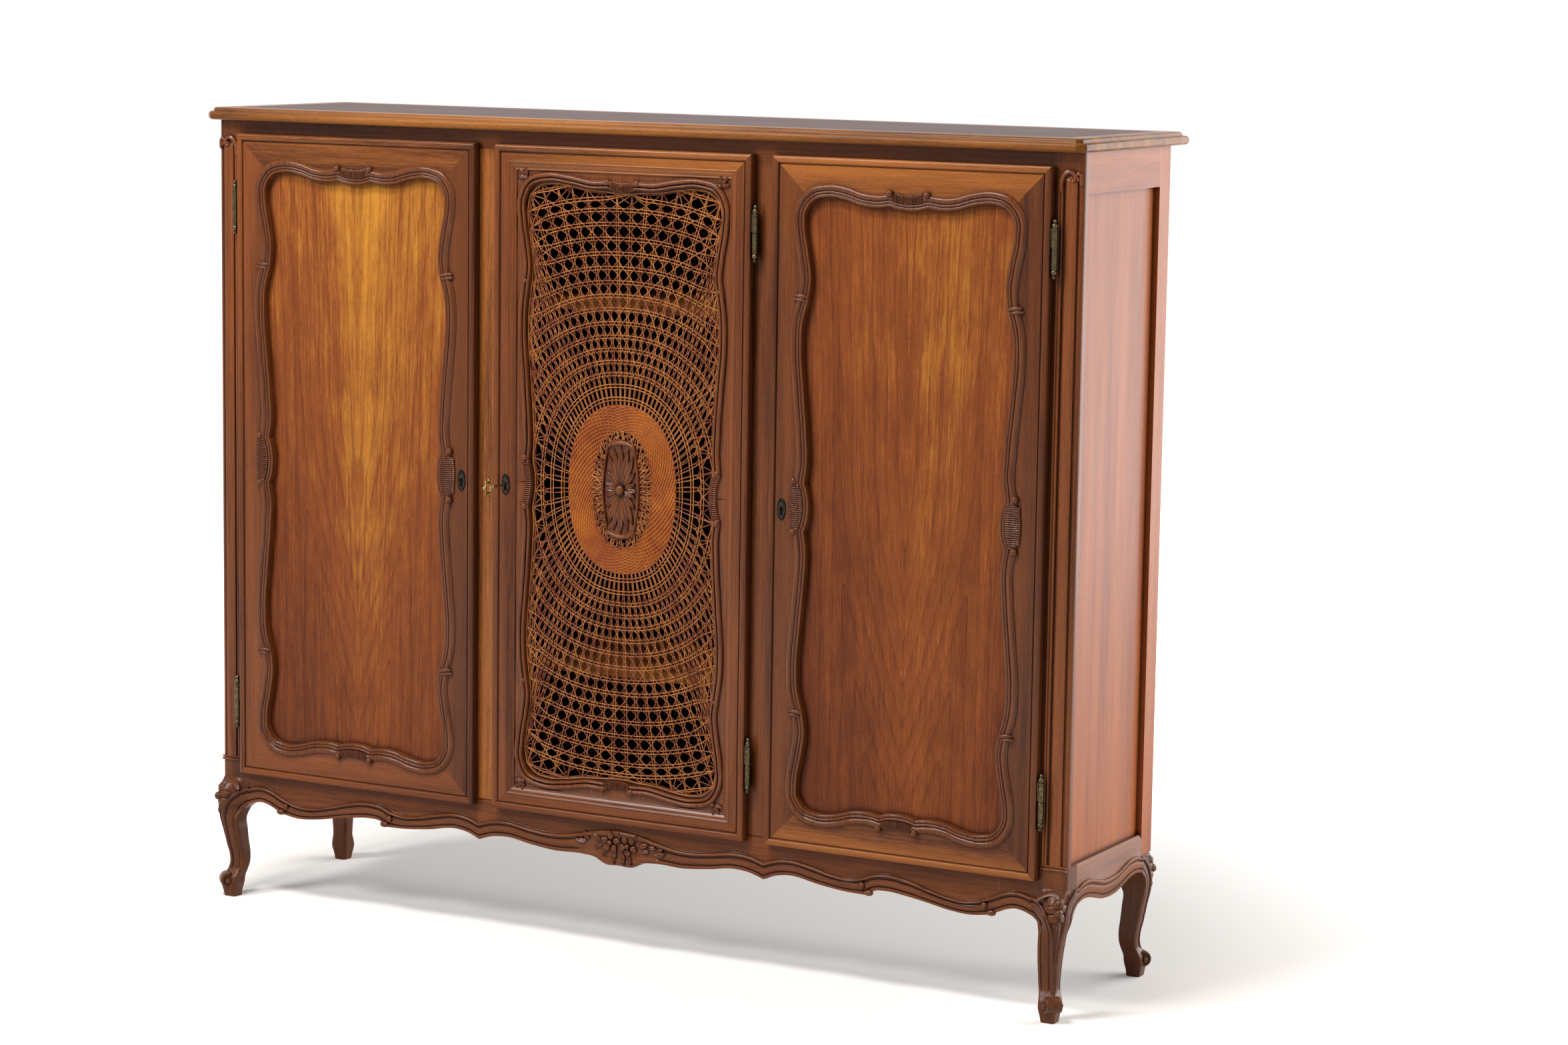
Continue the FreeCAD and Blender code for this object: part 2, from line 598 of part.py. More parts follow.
def build_lock(door, centre, hinge):
    """Mortise lock case with its bolt, and the oval escutcheon in front."""
    x_key = side_place(centre, -hinge, KEY_OFFSET)
    case_x = side_span(centre, -hinge, LOCK_INNER, LOCK_EDGE)
    case = box(f"{door}_case_block", case_x, (CASE_FRONT, DOOR_REAR), CASE_SPAN_Z)
    bolt_tip = f"({LOCK_EDGE} - bolt_setback)"
    bolt_x = side_span(centre, -hinge, f"{bolt_tip} - bolt_length", bolt_tip)
    channel_end = f"({bolt_tip} - bolt_length - bolt_clearance)"
    channel_x = side_span(centre, -hinge, channel_end, f"{LOCK_EDGE} + {OVERRUN}")
    channel = box(f"{door}_channel", channel_x,
                  (f"{BOLT_Y} - bolt_clearance", f"{BOLT_Y} + bolt_thickness + bolt_clearance"),
                  (f"{BOLT_Z} - bolt_clearance", f"{BOLT_Z} + bolt_height + bolt_clearance"))
    ward = cylinder(f"{door}_ward", "ward_radius", "case_inset_depth - 2 * case_wall", x_key,
                    f"{CASE_FRONT} + case_wall", LOCK_LEVEL, along_depth=True)
    wall_span = (f"{CASE_FRONT} - {OVERRUN}", f"{CASE_FRONT} + case_wall + {OVERRUN}")
    hollow = [channel, ward] + keyhole(f"{door}_case_key", x_key, wall_span)
    plate_front = f"({DOOR_FIELD} - escutcheon_thickness)"
    oval = ellipse(size["escutcheon_half_width"], size["escutcheon_half_height"])
    disc = front_plate(f"{door}_escutcheon_disc", oval, (plate_front, DOOR_FIELD), x_key, LOCK_LEVEL)
    plate_span = (f"{plate_front} - {OVERRUN}", f"{DOOR_FIELD} + {OVERRUN}")
    holes = keyhole(f"{door}_escutcheon_key", x_key, plate_span)
    bolt_y = (BOLT_Y, f"{BOLT_Y} + bolt_thickness")
    bolt = box(f"{door}_bolt", bolt_x, bolt_y, (BOLT_Z, f"{BOLT_Z} + bolt_height"))
    return {
        f"{door}_lock_case": cut(f"{door}_lock_case", case, hollow),
        f"{door}_bolt": bolt,
        f"{door}_escutcheon": cut(f"{door}_escutcheon", disc, holes),
    }


def hinge_half(name, x, level, direction, leaf_x, leaf_y):
    """Half of a lift-off hinge: bored barrel, leaf and two turned finials, up or down from its middle."""
    sign = "+" if direction > 0 else "-"
    length = "(barrel_length - barrel_gap / 2)"
    low = f"({level} + barrel_gap / 2)" if direction > 0 else f"({level} - barrel_length)"
    bore_low = f"({level} - {OVERRUN})" if direction > 0 else f"({level} - barrel_length + bore_stop)"
    barrel = cylinder(f"{name}_barrel", "barrel_radius", length, x, HINGE_AXIS_Y, low)
    bore = cylinder(f"{name}_bore", "pin_radius + pin_clearance", f"barrel_length - bore_stop + {OVERRUN}",
                    x, HINGE_AXIS_Y, bore_low)
    leaf = box(f"{name}_leaf", leaf_x, leaf_y, (f"{low} + leaf_margin", f"{low} + {length} - leaf_margin"))
    ball = sphere(f"{name}_ball", "finial_radius", x, HINGE_AXIS_Y,
                  f"{level} {sign} (barrel_length + finial_rise)")
    tip = sphere(f"{name}_tip", "finial_tip_radius", x, HINGE_AXIS_Y,
                 f"{level} {sign} (barrel_length + finial_tip_rise)")
    return cut(name, fuse(f"{name}_whole", [barrel, leaf, ball, tip]), [bore])


def build_hinges(doors):
    """Two hinges for each door: door halves ride on the door, post halves and pins stay on the case."""
    nodes, post_halves, pins = {}, [], []
    leaf_reach = "(barrel_radius - leaf_overlap)"
    levels = {"upper": f"({DOOR_BOTTOM} + door_height - hinge_from_end)",
              "lower": f"({DOOR_BOTTOM} + hinge_from_end)"}
    half_leaf = "leaf_thickness / 2"
    door_leaf_y = (f"{HINGE_AXIS_Y} - {half_leaf}", f"{HINGE_AXIS_Y} + {half_leaf}")
    post_leaf_y = (f"{HINGE_AXIS_Y} + {leaf_reach}", FRAME_FRONT)
    for door, (centre, hinge) in doors.items():
        x_axis = side_place(centre, hinge, f"{HALF_DOOR} + hinge_reach")
        door_leaf_x = side_span(centre, hinge, HALF_DOOR, f"{HALF_DOOR} + hinge_reach - {leaf_reach}")
        post_leaf_x = (f"{x_axis} - {half_leaf}", f"{x_axis} + {half_leaf}")
        door_halves = []
        for end, level in levels.items():
            name = f"{door}_{end}_hinge"
            door_halves.append(hinge_half(f"{name}_door", x_axis, level, 1, door_leaf_x, door_leaf_y))
            post_halves.append(hinge_half(f"{name}_post", x_axis, level, -1, post_leaf_x, post_leaf_y))
            pins.append(cylinder(f"{name}_pin", "pin_radius", "2 * (barrel_length - pin_stop)", x_axis,
                                 HINGE_AXIS_Y, f"{level} - barrel_length + pin_stop"))
        nodes[f"{door}_hinge_leaves"] = group(f"{door}_hinge_leaves", door_halves)
    nodes["hinge_post_leaves"] = group("hinge_post_leaves", post_halves)
    nodes["hinge_pins"] = group("hinge_pins", pins)
    return nodes


def build_side_door(door, centre, hinge):
    """Panelled door with its carved moulding."""
    reach = size["moulding_width"] / 2
    opening = closed_curve(MOULDING_QUARTER, -reach)
    nodes = build_frame(door, centre, hinge, size["bar_width"], "panel_recess", opening)
    half_u = f"({HALF_DOOR} - rebate_offset - panel_clearance)"
    half_w = "(door_height / 2 - rebate_offset - panel_clearance)"
    nodes[f"{door}_panel"] = box(f"{door}_panel", (f"{centre} - {half_u}", f"{centre} + {half_u}"),
                                 (PANEL_FRONT, f"{PANEL_FRONT} + panel_thickness"),
                                 (f"{DOOR_CENTRE_Z} - {half_w}", f"{DOOR_CENTRE_Z} + {half_w}"))
    crest = size["crest_width"] / 2
    base_ring = closed_curve(MOULDING_QUARTER, reach).cut(opening)
    crest_ring = closed_curve(MOULDING_QUARTER, crest).cut(closed_curve(MOULDING_QUARTER, -crest))
    step = f"({DOOR_FIELD} - moulding_height + crest_height)"
    crest_y = (f"{DOOR_FIELD} - moulding_height", step)
    rings = [front_plate(f"{door}_moulding_base", base_ring, (step, DOOR_FIELD), centre, DOOR_CENTRE_Z),
             front_plate(f"{door}_moulding_crest", crest_ring, crest_y, centre, DOOR_CENTRE_Z)]
    nodes[f"{door}_moulding"] = fuse(f"{door}_moulding", rings)
    nodes.update(build_lock(door, centre, hinge))
    return nodes


def cane_gap(turn, ring):
    """One gap of the net: a four-sided hole between two spokes and two rings round the woven oval."""
    half = math.pi / CANE_SPOKES
    rib = size["cane_rib"]
    inner = ring * size["ring_spacing"] + rib / 2
    outer = (ring + 1) * size["ring_spacing"] - rib / 2
    corners = []
    for reach, sign in ((inner, -1), (inner, 1), (outer, 1), (outer, -1)):
        half_width, half_height = size["weave_half_width"] + reach, size["weave_half_height"] + reach
        mean = math.sqrt(half_width * half_height)
        angle = turn + sign * (half - rib / 2 / mean)
        corners.append((half_width * math.cos(angle), half_height * math.sin(angle)))
    return corners


def build_cane(nodes):
    """Border, net and medallion of the middle door."""
    half_u = size["door_width"] / 2 - size["rebate_offset"] - size["panel_clearance"]
    half_w = size["door_height"] / 2 - size["rebate_offset"] - size["panel_clearance"]
    corners = [(-half_u, -half_w), (half_u, -half_w), (half_u, half_w), (-half_u, half_w)]
    sheet_face = polygon(upright(corners))
    border = sheet_face.cut(closed_curve(BORDER_QUARTER))
    border_y = (BORDER_FRONT, CANE_FRONT)
    nodes["middle_cane_border"] = front_plate("middle_cane_border", border, border_y, z=DOOR_CENTRE_Z)

    clear = closed_curve(BORDER_QUARTER, -size["cane_margin"])
    rings = int(half_w / size["ring_spacing"])
    gaps = []
    for ring in range(rings):
        for spoke in range(CANE_SPOKES):
            corners = upright(cane_gap(2 * math.pi * (spoke + 0.5) / CANE_SPOKES, ring))
            if all(clear.isInside(corner, 0.01, True) for corner in corners):
                gaps.append(Part.makePolygon(corners + corners[:1]))
    net = Part.Face([sheet_face.OuterWire] + gaps)
    net.validate()
    print("gaps in the cane net:", len(gaps))
    cane_span = (CANE_FRONT, f"{CANE_FRONT} + cane_thickness")
    nodes["middle_cane_panel"] = front_plate("middle_cane_panel", net, cane_span, z=DOOR_CENTRE_Z)
    medallion = ellipse(size["medallion_half_width"], size["medallion_half_height"])
    medallion_y = (f"{CANE_FRONT} - medallion_depth", CANE_FRONT)
    nodes["middle_medallion"] = front_plate("middle_medallion", medallion, medallion_y, z=DOOR_CENTRE_Z)


def build_key(centre, hinge):
    """Key in the middle lock: pierced bow, round shank and bit."""
    x_key = side_place(centre, -hinge, KEY_OFFSET)
    tip = f"({FRAME_FRONT} - key_reach)"
    bow_y = f"({tip} + bow_radius + bow_wire)"
    ring = doc.addObject("Part::Torus", "key_bow")
    bind(ring, "Radius1", "bow_radius")
    bind(ring, "Radius2", "bow_wire")
    ring.Placement = FreeCAD.Placement(Vector(0, 0, 0), FreeCAD.Rotation(Vector(0, 1, 0), 90))
    place(ring, x_key, bow_y, LOCK_LEVEL)
    shank_start = f"({bow_y} + bow_radius)"
    inner_end = f"({DOOR_REAR} - case_wall - key_end_clearance)"
    shank_length = f"{inner_end} - {shank_start}"
    shank = cylinder("key_shank", "key_radius", shank_length, x_key, shank_start, LOCK_LEVEL,
                     along_depth=True)
    bit = box("key_bit", (f"{x_key} - key_radius / 2", f"{x_key} + key_radius / 2"),
              (f"{inner_end} - key_bit_length", inner_end), (f"{LOCK_LEVEL} - key_bit_drop", LOCK_LEVEL))
    return {"key": fuse("key", [ring, shank, bit])}


def build_middle_door(door, centre, hinge):
    """Caned door with its border, medallion, lock and key."""
    bar = size["rebate_offset"] + size["border_seat"]
    nodes = build_frame(door, centre, hinge, bar, "border_recess")
    build_cane(nodes)
    nodes.update(build_lock(door, centre, hinge))
    nodes.update(build_key(centre, hinge))
    return nodes


def main():
    """Build every sub-part, check it and write its file."""
    pitch = "(door_width + door_gap)"
    doors = {"left": (f"-{pitch}", -1), "middle": ("0", 1), "right": (pitch, 1)}
    nodes = {}
    for part in (build_top_board, build_posts, build_sides, build_front_frame, build_inside, build_legs):
        nodes.update(part())
    nodes.update(build_side_door("left", *doors["left"]))
    nodes.update(build_middle_door("middle", *doors["middle"]))
    nodes.update(build_side_door("right", *doors["right"]))
    nodes.update(build_hinges(doors))
    doc.recompute()

    for thing in doc.Objects:
        if {"Invalid", "Error"} & set(thing.State):
            raise RuntimeError(f"{thing.Name} failed: {thing.State}")
    os.makedirs("parts", exist_ok=True)
    for name, piece in nodes.items():
        piece.Label = name
        if piece.Shape.isNull() or not piece.Shape.isValid():
            raise RuntimeError(f"{name} has no valid shape")
        piece.Shape.exportStep(os.path.join("parts", f"{name}.step"))
    print(len(nodes), "sub-parts")


main()
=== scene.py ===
"""Looks of the carved three-door credenza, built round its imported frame.

Lengths inside the shape functions are millimetres in the frame's axes: X to the right, Y to the back, Z up.
Carved work is drawn in a flat local frame: across, up, and out towards the viewer.
"""
import json
import math

import bmesh
import bpy
import numpy as np
from bpy.props import FloatProperty, FloatVectorProperty, PointerProperty
from mathutils import Matrix, Vector


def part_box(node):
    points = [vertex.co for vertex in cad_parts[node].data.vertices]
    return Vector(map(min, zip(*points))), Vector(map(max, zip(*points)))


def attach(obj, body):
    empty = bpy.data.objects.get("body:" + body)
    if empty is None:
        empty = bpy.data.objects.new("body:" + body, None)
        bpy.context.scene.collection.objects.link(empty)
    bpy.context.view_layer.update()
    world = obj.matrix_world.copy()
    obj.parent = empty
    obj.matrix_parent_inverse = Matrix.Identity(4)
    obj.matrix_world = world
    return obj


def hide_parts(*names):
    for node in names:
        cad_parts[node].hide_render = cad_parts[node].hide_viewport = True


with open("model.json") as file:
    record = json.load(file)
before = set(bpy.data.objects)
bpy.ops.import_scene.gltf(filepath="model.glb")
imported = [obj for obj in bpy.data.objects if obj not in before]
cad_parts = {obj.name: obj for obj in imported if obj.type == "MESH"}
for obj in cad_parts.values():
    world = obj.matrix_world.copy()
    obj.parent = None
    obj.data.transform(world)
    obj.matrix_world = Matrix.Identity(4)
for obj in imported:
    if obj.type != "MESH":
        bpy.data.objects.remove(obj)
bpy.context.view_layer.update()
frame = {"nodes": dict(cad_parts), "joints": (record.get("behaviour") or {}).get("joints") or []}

bl_info = {
    "name": "Carved credenza",
    "version": (1, 0, 0),
    "blender": (4, 5, 0),
    "location": "3D View > Sidebar > Credenza",
    "description": "Carved walnut credenza with a caned middle door",
    "category": "Object",
}

MM = 0.001
DOORS = ("left", "middle", "right")
SIDE_DOORS = ("left", "right")
STILE_SIDES = ("left", "right")
RAIL_SIDES = ("top", "bottom")
CORNERS = ((-1, -1), (-1, 1), (1, -1), (1, 1))
FRONT_AXES = ((1, 0, 0), (0, 0, 1), (0, -1, 0))
SIDE_AXES = ((0, 1, 0), (0, 0, 1), (1, 0, 0))
SHARP_EDGE = math.radians(35)


# Places read from the frame, in millimetres

def node_box(*names):
    """Lowest and highest corner that hold all the named nodes."""
    corners = np.array([[list(corner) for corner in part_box(name)] for name in names]) / MM
    return corners[:, 0].min(0), corners[:, 1].max(0)


POST_LOW, POST_HIGH = node_box("right_front_post")
TOP_LOW, TOP_HIGH = node_box("top_board")
APRON_HIGH = node_box("front_apron")[1]
SIDE_APRON_LOW, SIDE_APRON_HIGH = node_box("right_apron")
SIDE_APRON_LENGTH = SIDE_APRON_HIGH[1] - SIDE_APRON_LOW[1]
SIDE_PANEL_LOW = node_box("right_side_panel")[0]
PANEL_FRONT = node_box("left_panel")[0][1]
BORDER_LOW, BORDER_HIGH = node_box("middle_cane_border")
CANE_FRONT = node_box("middle_cane_panel")[0][1]
CASE_BACK = node_box("right_rear_post")[1][1]
FRAME_FRONT = POST_LOW[1]
CASE_HALF = POST_HIGH[0]
CASE_MIDDLE_Y = (FRAME_FRONT + CASE_BACK) / 2
LEG_TOP = POST_LOW[2]
DOOR_BOXES = {door: node_box(f"{door}_top_rail", f"{door}_bottom_rail") for door in DOORS}
DOOR_LOW, DOOR_HIGH = DOOR_BOXES["middle"]
HALF_WIDTH = (DOOR_HIGH[0] - DOOR_LOW[0]) / 2
HALF_HEIGHT = (DOOR_HIGH[2] - DOOR_LOW[2]) / 2
DOOR_LEVEL = (DOOR_LOW[2] + DOOR_HIGH[2]) / 2
DOOR_CREST, DOOR_REAR = DOOR_LOW[1], DOOR_HIGH[1]
DOOR_CENTRES = {door: (low[0] + high[0]) / 2 for door, (low, high) in DOOR_BOXES.items()}

# Half the length of a door's member on each side, and how far it lies from the door's middle
MEMBER_HALVES = {side: (HALF_HEIGHT, HALF_WIDTH) for side in STILE_SIDES}
MEMBER_HALVES |= {side: (HALF_WIDTH, HALF_HEIGHT) for side in RAIL_SIDES}

# How the door members lie in depth behind the lip's crest, and how far in their steps are
LIP_HEIGHT = 3.0
DOOR_FIELD = DOOR_CREST + LIP_HEIGHT
OVERLAY_REAR = FRAME_FRONT - 0.5
INSET_EDGE = 12.5
REBATE_EDGE = 38.0
# Lip as (share of its width in from the door's edge, share of its height)
LIP = [(0, -0.8), (0.02, 0.1), (0.08, 0.5), (0.18, 0.8), (0.32, 0.96), (0.5, 1.0), (0.68, 0.94), (0.80, 0.80),
       (0.88, 0.58), (0.93, 0.30), (0.96, -0.1), (1.0, -0.42), (1.05, -0.45), (1.10, -0.2), (1.15, 0.0)]
# Ogee of the middle door, down to the carved border, as (distance in from the edge, height above the field)
OGEE = [(27.5, 0), (28.3, 0.7), (29.2, 0.9), (30.2, 0.5), (31.2, -0.6), (33, -1.2), (35.5, -1.8), (38, -3.2),
        (40, -4.4), (40.8, -4.0), (42, -4.1), (43.2, -5.0), (44, -6.8)]
OGEE_END = 45.5
BORDER_EDGE = 46.0
# Which stile is on the left and which on the right; members painted darker, as painted shade where the light
# falls off to the right; and members painted lighter and more golden, the top rails lit from above
STILES = {"left": ("hinge", "lock"), "middle": ("lock", "hinge"), "right": ("lock", "hinge")}
SHADED_MEMBERS = {"left_lock_stile": 0.70, "right_lock_stile": 0.82, "right_hinge_stile": 0.80}
GOLDEN_MEMBERS = ("left_top_rail", "middle_top_rail", "right_top_rail", "right_bottom_rail")

# Quarter of the side doors' moulding from the top middle to the side middle, in pieces between its breaks
MOULDING_QUARTER = [
    [(0, 511), (18, 512.5), (34, 517)],
    [(34, 517), (58, 514), (85, 516), (118, 525), (150, 528), (180, 520), (199, 495), (200, 465), (192, 420),
     (187, 380), (191, 350)],
    [(191, 350), (201, 312), (203, 265), (198, 200), (191, 120), (189, 75), (194, 40)],
    [(194, 40), (187, 20), (185, 0)],
]
# Quarter of the inner edge of the carved border round the cane, in the same way
BORDER_QUARTER = [
    [(0, 509), (14, 510), (27, 514)],
    [(27, 514), (60, 513), (105, 520), (150, 523), (181, 514), (194, 490), (193, 455), (185, 405), (182, 372),
     (185, 350)],
    [(185, 350), (191, 305), (192, 262), (187, 190), (182, 110), (181, 70), (184, 40)],
    [(184, 40), (179, 20), (177, 0)],
]
# Shells at the four middles of both: half lengths, and how far from the door's middle each kind begins
MOULDING_SHELL_TOP = 32.0
BORDER_SHELL_TOP = 27.0
SHELL_HALF_SIDE = 40.0
TOP_SHELL_FROM = 400.0
SIDE_SHELL_FROM = 150.0
KNUCKLE_UP = 350.0
# Side doors' shells: width, and distance of their straight outer line from the door's middle
SHELL_WIDTH = 16.0
SHELL_LINE = 198.0
# Balls beside the shells as (across, up) from the door's middle, and places of the knuckles, buds and leaves
MOULDING_BALLS = ((34.0, 528.5), (203.5, 43.0))
BORDER_BALLS = ((29.0, 525.0), (192.0, 42.5))
KNUCKLE_OUT = 194.0
BUD_OUT = 193.0
LEAF_CORNER = (191.0, 528.0)

# Top: cut of its front corners, width of its edging, nose, and the step above the nose as (distance in from
# the edge, height from the upper face)
TOP_CORNER = 14.0
EDGING_WIDTH = 46.0
NOSE_RADIUS = 7.2
NOSE_SQUASH = 0.62
TOP_STEP = [(6.5, -6.8), (8.0, -6.7), (8.6, -5.8), (9.0, -4.4), (9.6, -2.8), (10.6, -1.4), (12.2, -0.4),
            (14.5, 0.0), (EDGING_WIDTH, 0.0)]

# Front posts: reeds and grooves across the face as (distance in from the outer side, half width, height)
REEDS_FROM = LEG_TOP + 40
REEDS_TO = POST_HIGH[2] - 47
POST_ROUND = 8.0
POST_REEDED = 46.75
POST_REEDS = [(43.45, 2.8, 2.6), (37.75, 2.7, 2.6), (33.15, 1.9, -2.6), (21.15, 10.2, 2.2), (9.35, 1.7, -2.8)]
# Scrolls that end the reeds: distance in, step, bar's radius, path from the reed's end, ball's place, radii
POST_SCROLLS = [
    (38.75, 1.2, 4.0, [(0, -18), (0, 0), (5, 11), (14, 15.5), (21, 13), (24, 7), (21, 1.5), (16, 2.5),
                       (15.5, 6.5)], (18.5, 5.6, 2.4), (3.2, 3.2, 3.4)),
    (5.25, 1.0, 3.0, [(0, -6), (0.5, 3), (-0.5, 11), (-3.5, 13), (-7, 10), (-6.9, 5), (-4, 2.5), (-1.7, 5)],
     (-3.5, 5.4, 2.2), (2.4, 2.4, 3.0)),
]
# Collar below the reeds: two bars as (distance below, radius)
POST_COLLAR = [(7.0, 2.6), (2.0, 1.8)]

# Front apron: lower edge and upper bead line as (distance from the middle, height), between breaks
APRON_EDGE = [
    [(0, 158), (28, 158), (48, 167.5), (75, 170.5), (130, 169.5), (180, 174.5), (230, 181.5), (262, 178.5),
     (288, 170.5)],
    [(288, 170.5), (312, 180), (335, 183.5), (400, 174.5), (450, 169.5), (484, 168.5)],
    [(484, 168.5), (500, 178), (522, 180), (560, 176.5), (600, 170.5), (640, 163.5), (680, 160.5),
     (712, 164.5)],
    [(712, 164.5), (728, 171), (746, 178.5), (762, 181.5), (777, 179), (791, 173.5)],
]
APRON_BEAD = [
    [(0, 222.5), (40, 218.5), (80, 208.5), (120, 201.5), (145, 200.5), (180, 203.5), (230, 210.5),
     (262, 208.5), (288, 200.5)],
    [(288, 200.5), (316, 209.5), (340, 211.5), (380, 205.5), (420, 196.5), (445, 193.5), (475, 198),
     (500, 207), (525, 209.5), (560, 205.5), (600, 194.5), (640, 185.5), (665, 183.5), (690, 187), (720, 198),
     (742, 207.5), (760, 211), (775, 209.5), (791, 205)],
]
APRON_VOLUTES = (486.0, 714.0)
# Spray in the apron's middle: leaves as (across, height, heading, length, width, bend), and buds
SPRAY_OUT = 3.0
SPRAY_LEAVES = [
    (2, 203, 1.57, 17, 10, 0.0), (4, 190, 1.45, 16, 8, 0.1), (-3, 190, 4.4, 26, 9, 0.3),
    (9, 186, 5.0, 24, 9, -0.3), (22, 182, 4.9, 20, 8, 0.2), (-22, 190, 4.2, 18, 8, 0.2),
    (-32, 200, 2.9, 24, 12, -0.6), (-30, 194, 3.4, 18, 9, 0.5), (-56, 200, 2.7, 20, 10, -0.7),
    (-62, 198, 3.6, 24, 11, -0.9), (40, 198, 0.1, 22, 13, 0.3), (46, 192, -0.3, 18, 10, 0.6),
    (60, 196, 0.5, 18, 10, -0.9), (72, 190, -0.4, 26, 11, 1.1), (34, 205, 1.1, 14, 9, 0.3),
    (-6, 210, 2.2, 10, 7, 0.0), (12, 176, 4.6, 16, 7, 0.1), (-10, 176, 4.9, 16, 7, -0.1),
]
SPRAY_BUDS = ((88, 197), (-74, 204), (-45, 205))
# Side apron: lower edge and bead line as (share of the length from the front, height), up to its middle
SIDE_EDGE = [(0, 192), (0.08, 195.5), (0.17, 194), (0.28, 187.5), (0.39, 180.5), (0.5, 178)]
SIDE_BEAD = [(0, 219), (0.08, 225), (0.17, 226), (0.28, 220), (0.39, 213), (0.5, 211)]
# Carved band of the aprons and legs, from its edge at 0 to its bead line at 1: a flat strip, a broad round
# and a bead, each as (foot, height, centre, half width, rises from, rises to, falls from, falls to)
BAND_RIDGES = [
    (0.50, 0.12, 0.11, 0.13, -0.005, 0.03, 0.215, 0.245),
    (0.26, 0.42, 0.48, 0.235, 0.245, 0.28, 0.69, 0.73),
    (0.15, 0.85, 0.88, 0.12, 0.745, 0.80, 0.95, 1.02),
]
BAND_SHARES = np.concatenate([np.linspace(0, 0.235, 8), [0.245], np.linspace(0.26, 0.71, 14), [0.73, 0.755],
                              np.linspace(0.77, 0.999, 11)])

# Cabriole leg from the floor up: share of its height, how far its side and front lie inside the post's
# faces, and its width and depth there
LEG_SECTIONS = np.array([
    (0, 10.5, -14, 25, 25), (0.045, 9, -16, 28, 28), (0.115, 6, -18.5, 34, 34), (0.17, 8.0, -15, 32.5, 32.5),
    (0.215, 12, -8, 31, 28.5), (0.27, 14, -4, 32, 27), (0.36, 13, -5, 34, 29), (0.45, 10, -10.5, 36, 32),
    (0.56, 6, -15.5, 38.5, 35.5), (0.675, 1.5, -20.5, 42, 40), (0.72, 0.5, -22, 46, 43),
    (0.75, 0, -23, 50, 44.5), (0.775, 0, -23, 57, 46), (0.79, 0, -23, 60, 47.5), (0.82, 0, -23, 60, 52),
    (0.845, 0, -22.8, 60, 59), (0.865, 0, -22.3, 60, 64), (0.955, 0, -12, 60, 54), (1, 0, 0, 60, 42),
])
TOE = 2
LEG_POWER = 6.0
KNEE_LOW, KNEE_HIGH = 138.0, 173.0
# Carving of the leg: heights where it begins and where its sunk ground ends, ground's depth, relief on the
# leg and more on the knee, and widths of the bands on its front and side with the margin that they keep
LEG_CARVED_FROM = (47.0, 54.0)
GROUND_TO = 204.0
GROUND_DEPTH = 2.4
LEG_RELIEF = 3.2
KNEE_RELIEF = 2.8
FRONT_BAND = 31.5
SIDE_BAND = 28.0
BAND_MARGIN = 3.5
# Knee flower: its height, and its petals as (heading, length, width)
FLOWER_UP = 188.0
KNEE_PETALS = [(1.62, 20, 19), (2.75, 16, 15), (0.42, 16, 15), (4.02, 18, 16), (5.40, 18, 16)]
# Two horns above the knee flower: path as (across, height), and radii from root to tip
HORNS = [
    ([(-3, 206), (-5, 213), (-11, 217.5), (-19, 216), (-26, 210), (-31, 203)],
     (4.4, 5.2, 5.2, 4.6, 3.6, 1.6)),
    ([(4, 208), (8, 215), (14, 217), (20, 213), (24, 206), (25.5, 199)], (3.8, 4.6, 4.6, 4.0, 3.0, 1.4)),
]
# Scroll foot: height of its eye, and turns of its coil
COIL_UP = 29.5
COIL_TURNS = 1.5

# Cane: woven oval, net of spokes and rings
WEAVE_HALF = (107.0, 146.0)
WEAVE_INNER = (56.0, 99.0)
STAKES = 96
OVAL_POWER = 2.3
SPOKES = 92
LEDGE = 7.0
HOLE_PULL = 42.0
RING_REACH = (11, 33, 53, 74, 95, 117, 140, 164, 187, 210, 234, 259, 284, 309, 333, 352, 378, 404)
# Fringe round the medallion: rows as (stitches, reach from, reach to, sway)
FRINGE_INNER = (34.0, 77.0)
FRINGE_ROWS = ((150, 15, 25, 0.05), (140, 8, 18, 0.12), (120, 1, 11, 0.16))

# Medallion: half height, crown of its ends, half width, and how much narrower its ends are
MEDALLION_HALF = 77.0
MEDALLION_CROWN = 9.0
MEDALLION_WIDTH = 38.0
MEDALLION_WAIST = 11.0
# Its petals as (turn from upright, length, width), and its side petals as (turn from level, length)
LONG_PETALS = [(0.0, 70, 15), (0.2, 66, 14), (-0.2, 66, 14), (0.4, 58, 15), (-0.4, 58, 15), (0.72, 36, 13),
               (-0.72, 36, 13)]
SIDE_PETALS = [(0.0, 27), (0.5, 26), (-0.5, 26)]

# Hinge barrels: length, play between the halves, distance from the door's ends, and the finial as (inset from
# the barrel's radius, height from the barrel's end)
BARREL_LENGTH = 36.5
BARREL_PLAY = 0.25
HINGE_INSET = 132.0
FINIAL = [(0, -9), (0.8, -8.6), (0.8, -7.6), (0, -7.2), (0, -4.4), (1.2, -3.6), (1.4, -2.6), (0.4, -1.6),
          (-0.1, 1.0), (0.3, 3.4), (1.8, 5.0), (2.8, 5.6), (2.8, 6.4), (1.7, 7.4), (1.5, 9.0), (2.4, 10.6),
          (3.4, 11.6)]
FINIAL_TIP = 12.2
# Escutcheons: half sizes, beads round the rim, and keyhole's radius, half slot and drop
ESCUTCHEON_HALF = (8.2, 19.0)
RIM_BEADS = 28
KEYHOLE_RADIUS = 3.8
KEYHOLE_SLOT = 2.2
KEYHOLE_DROP = 10.0
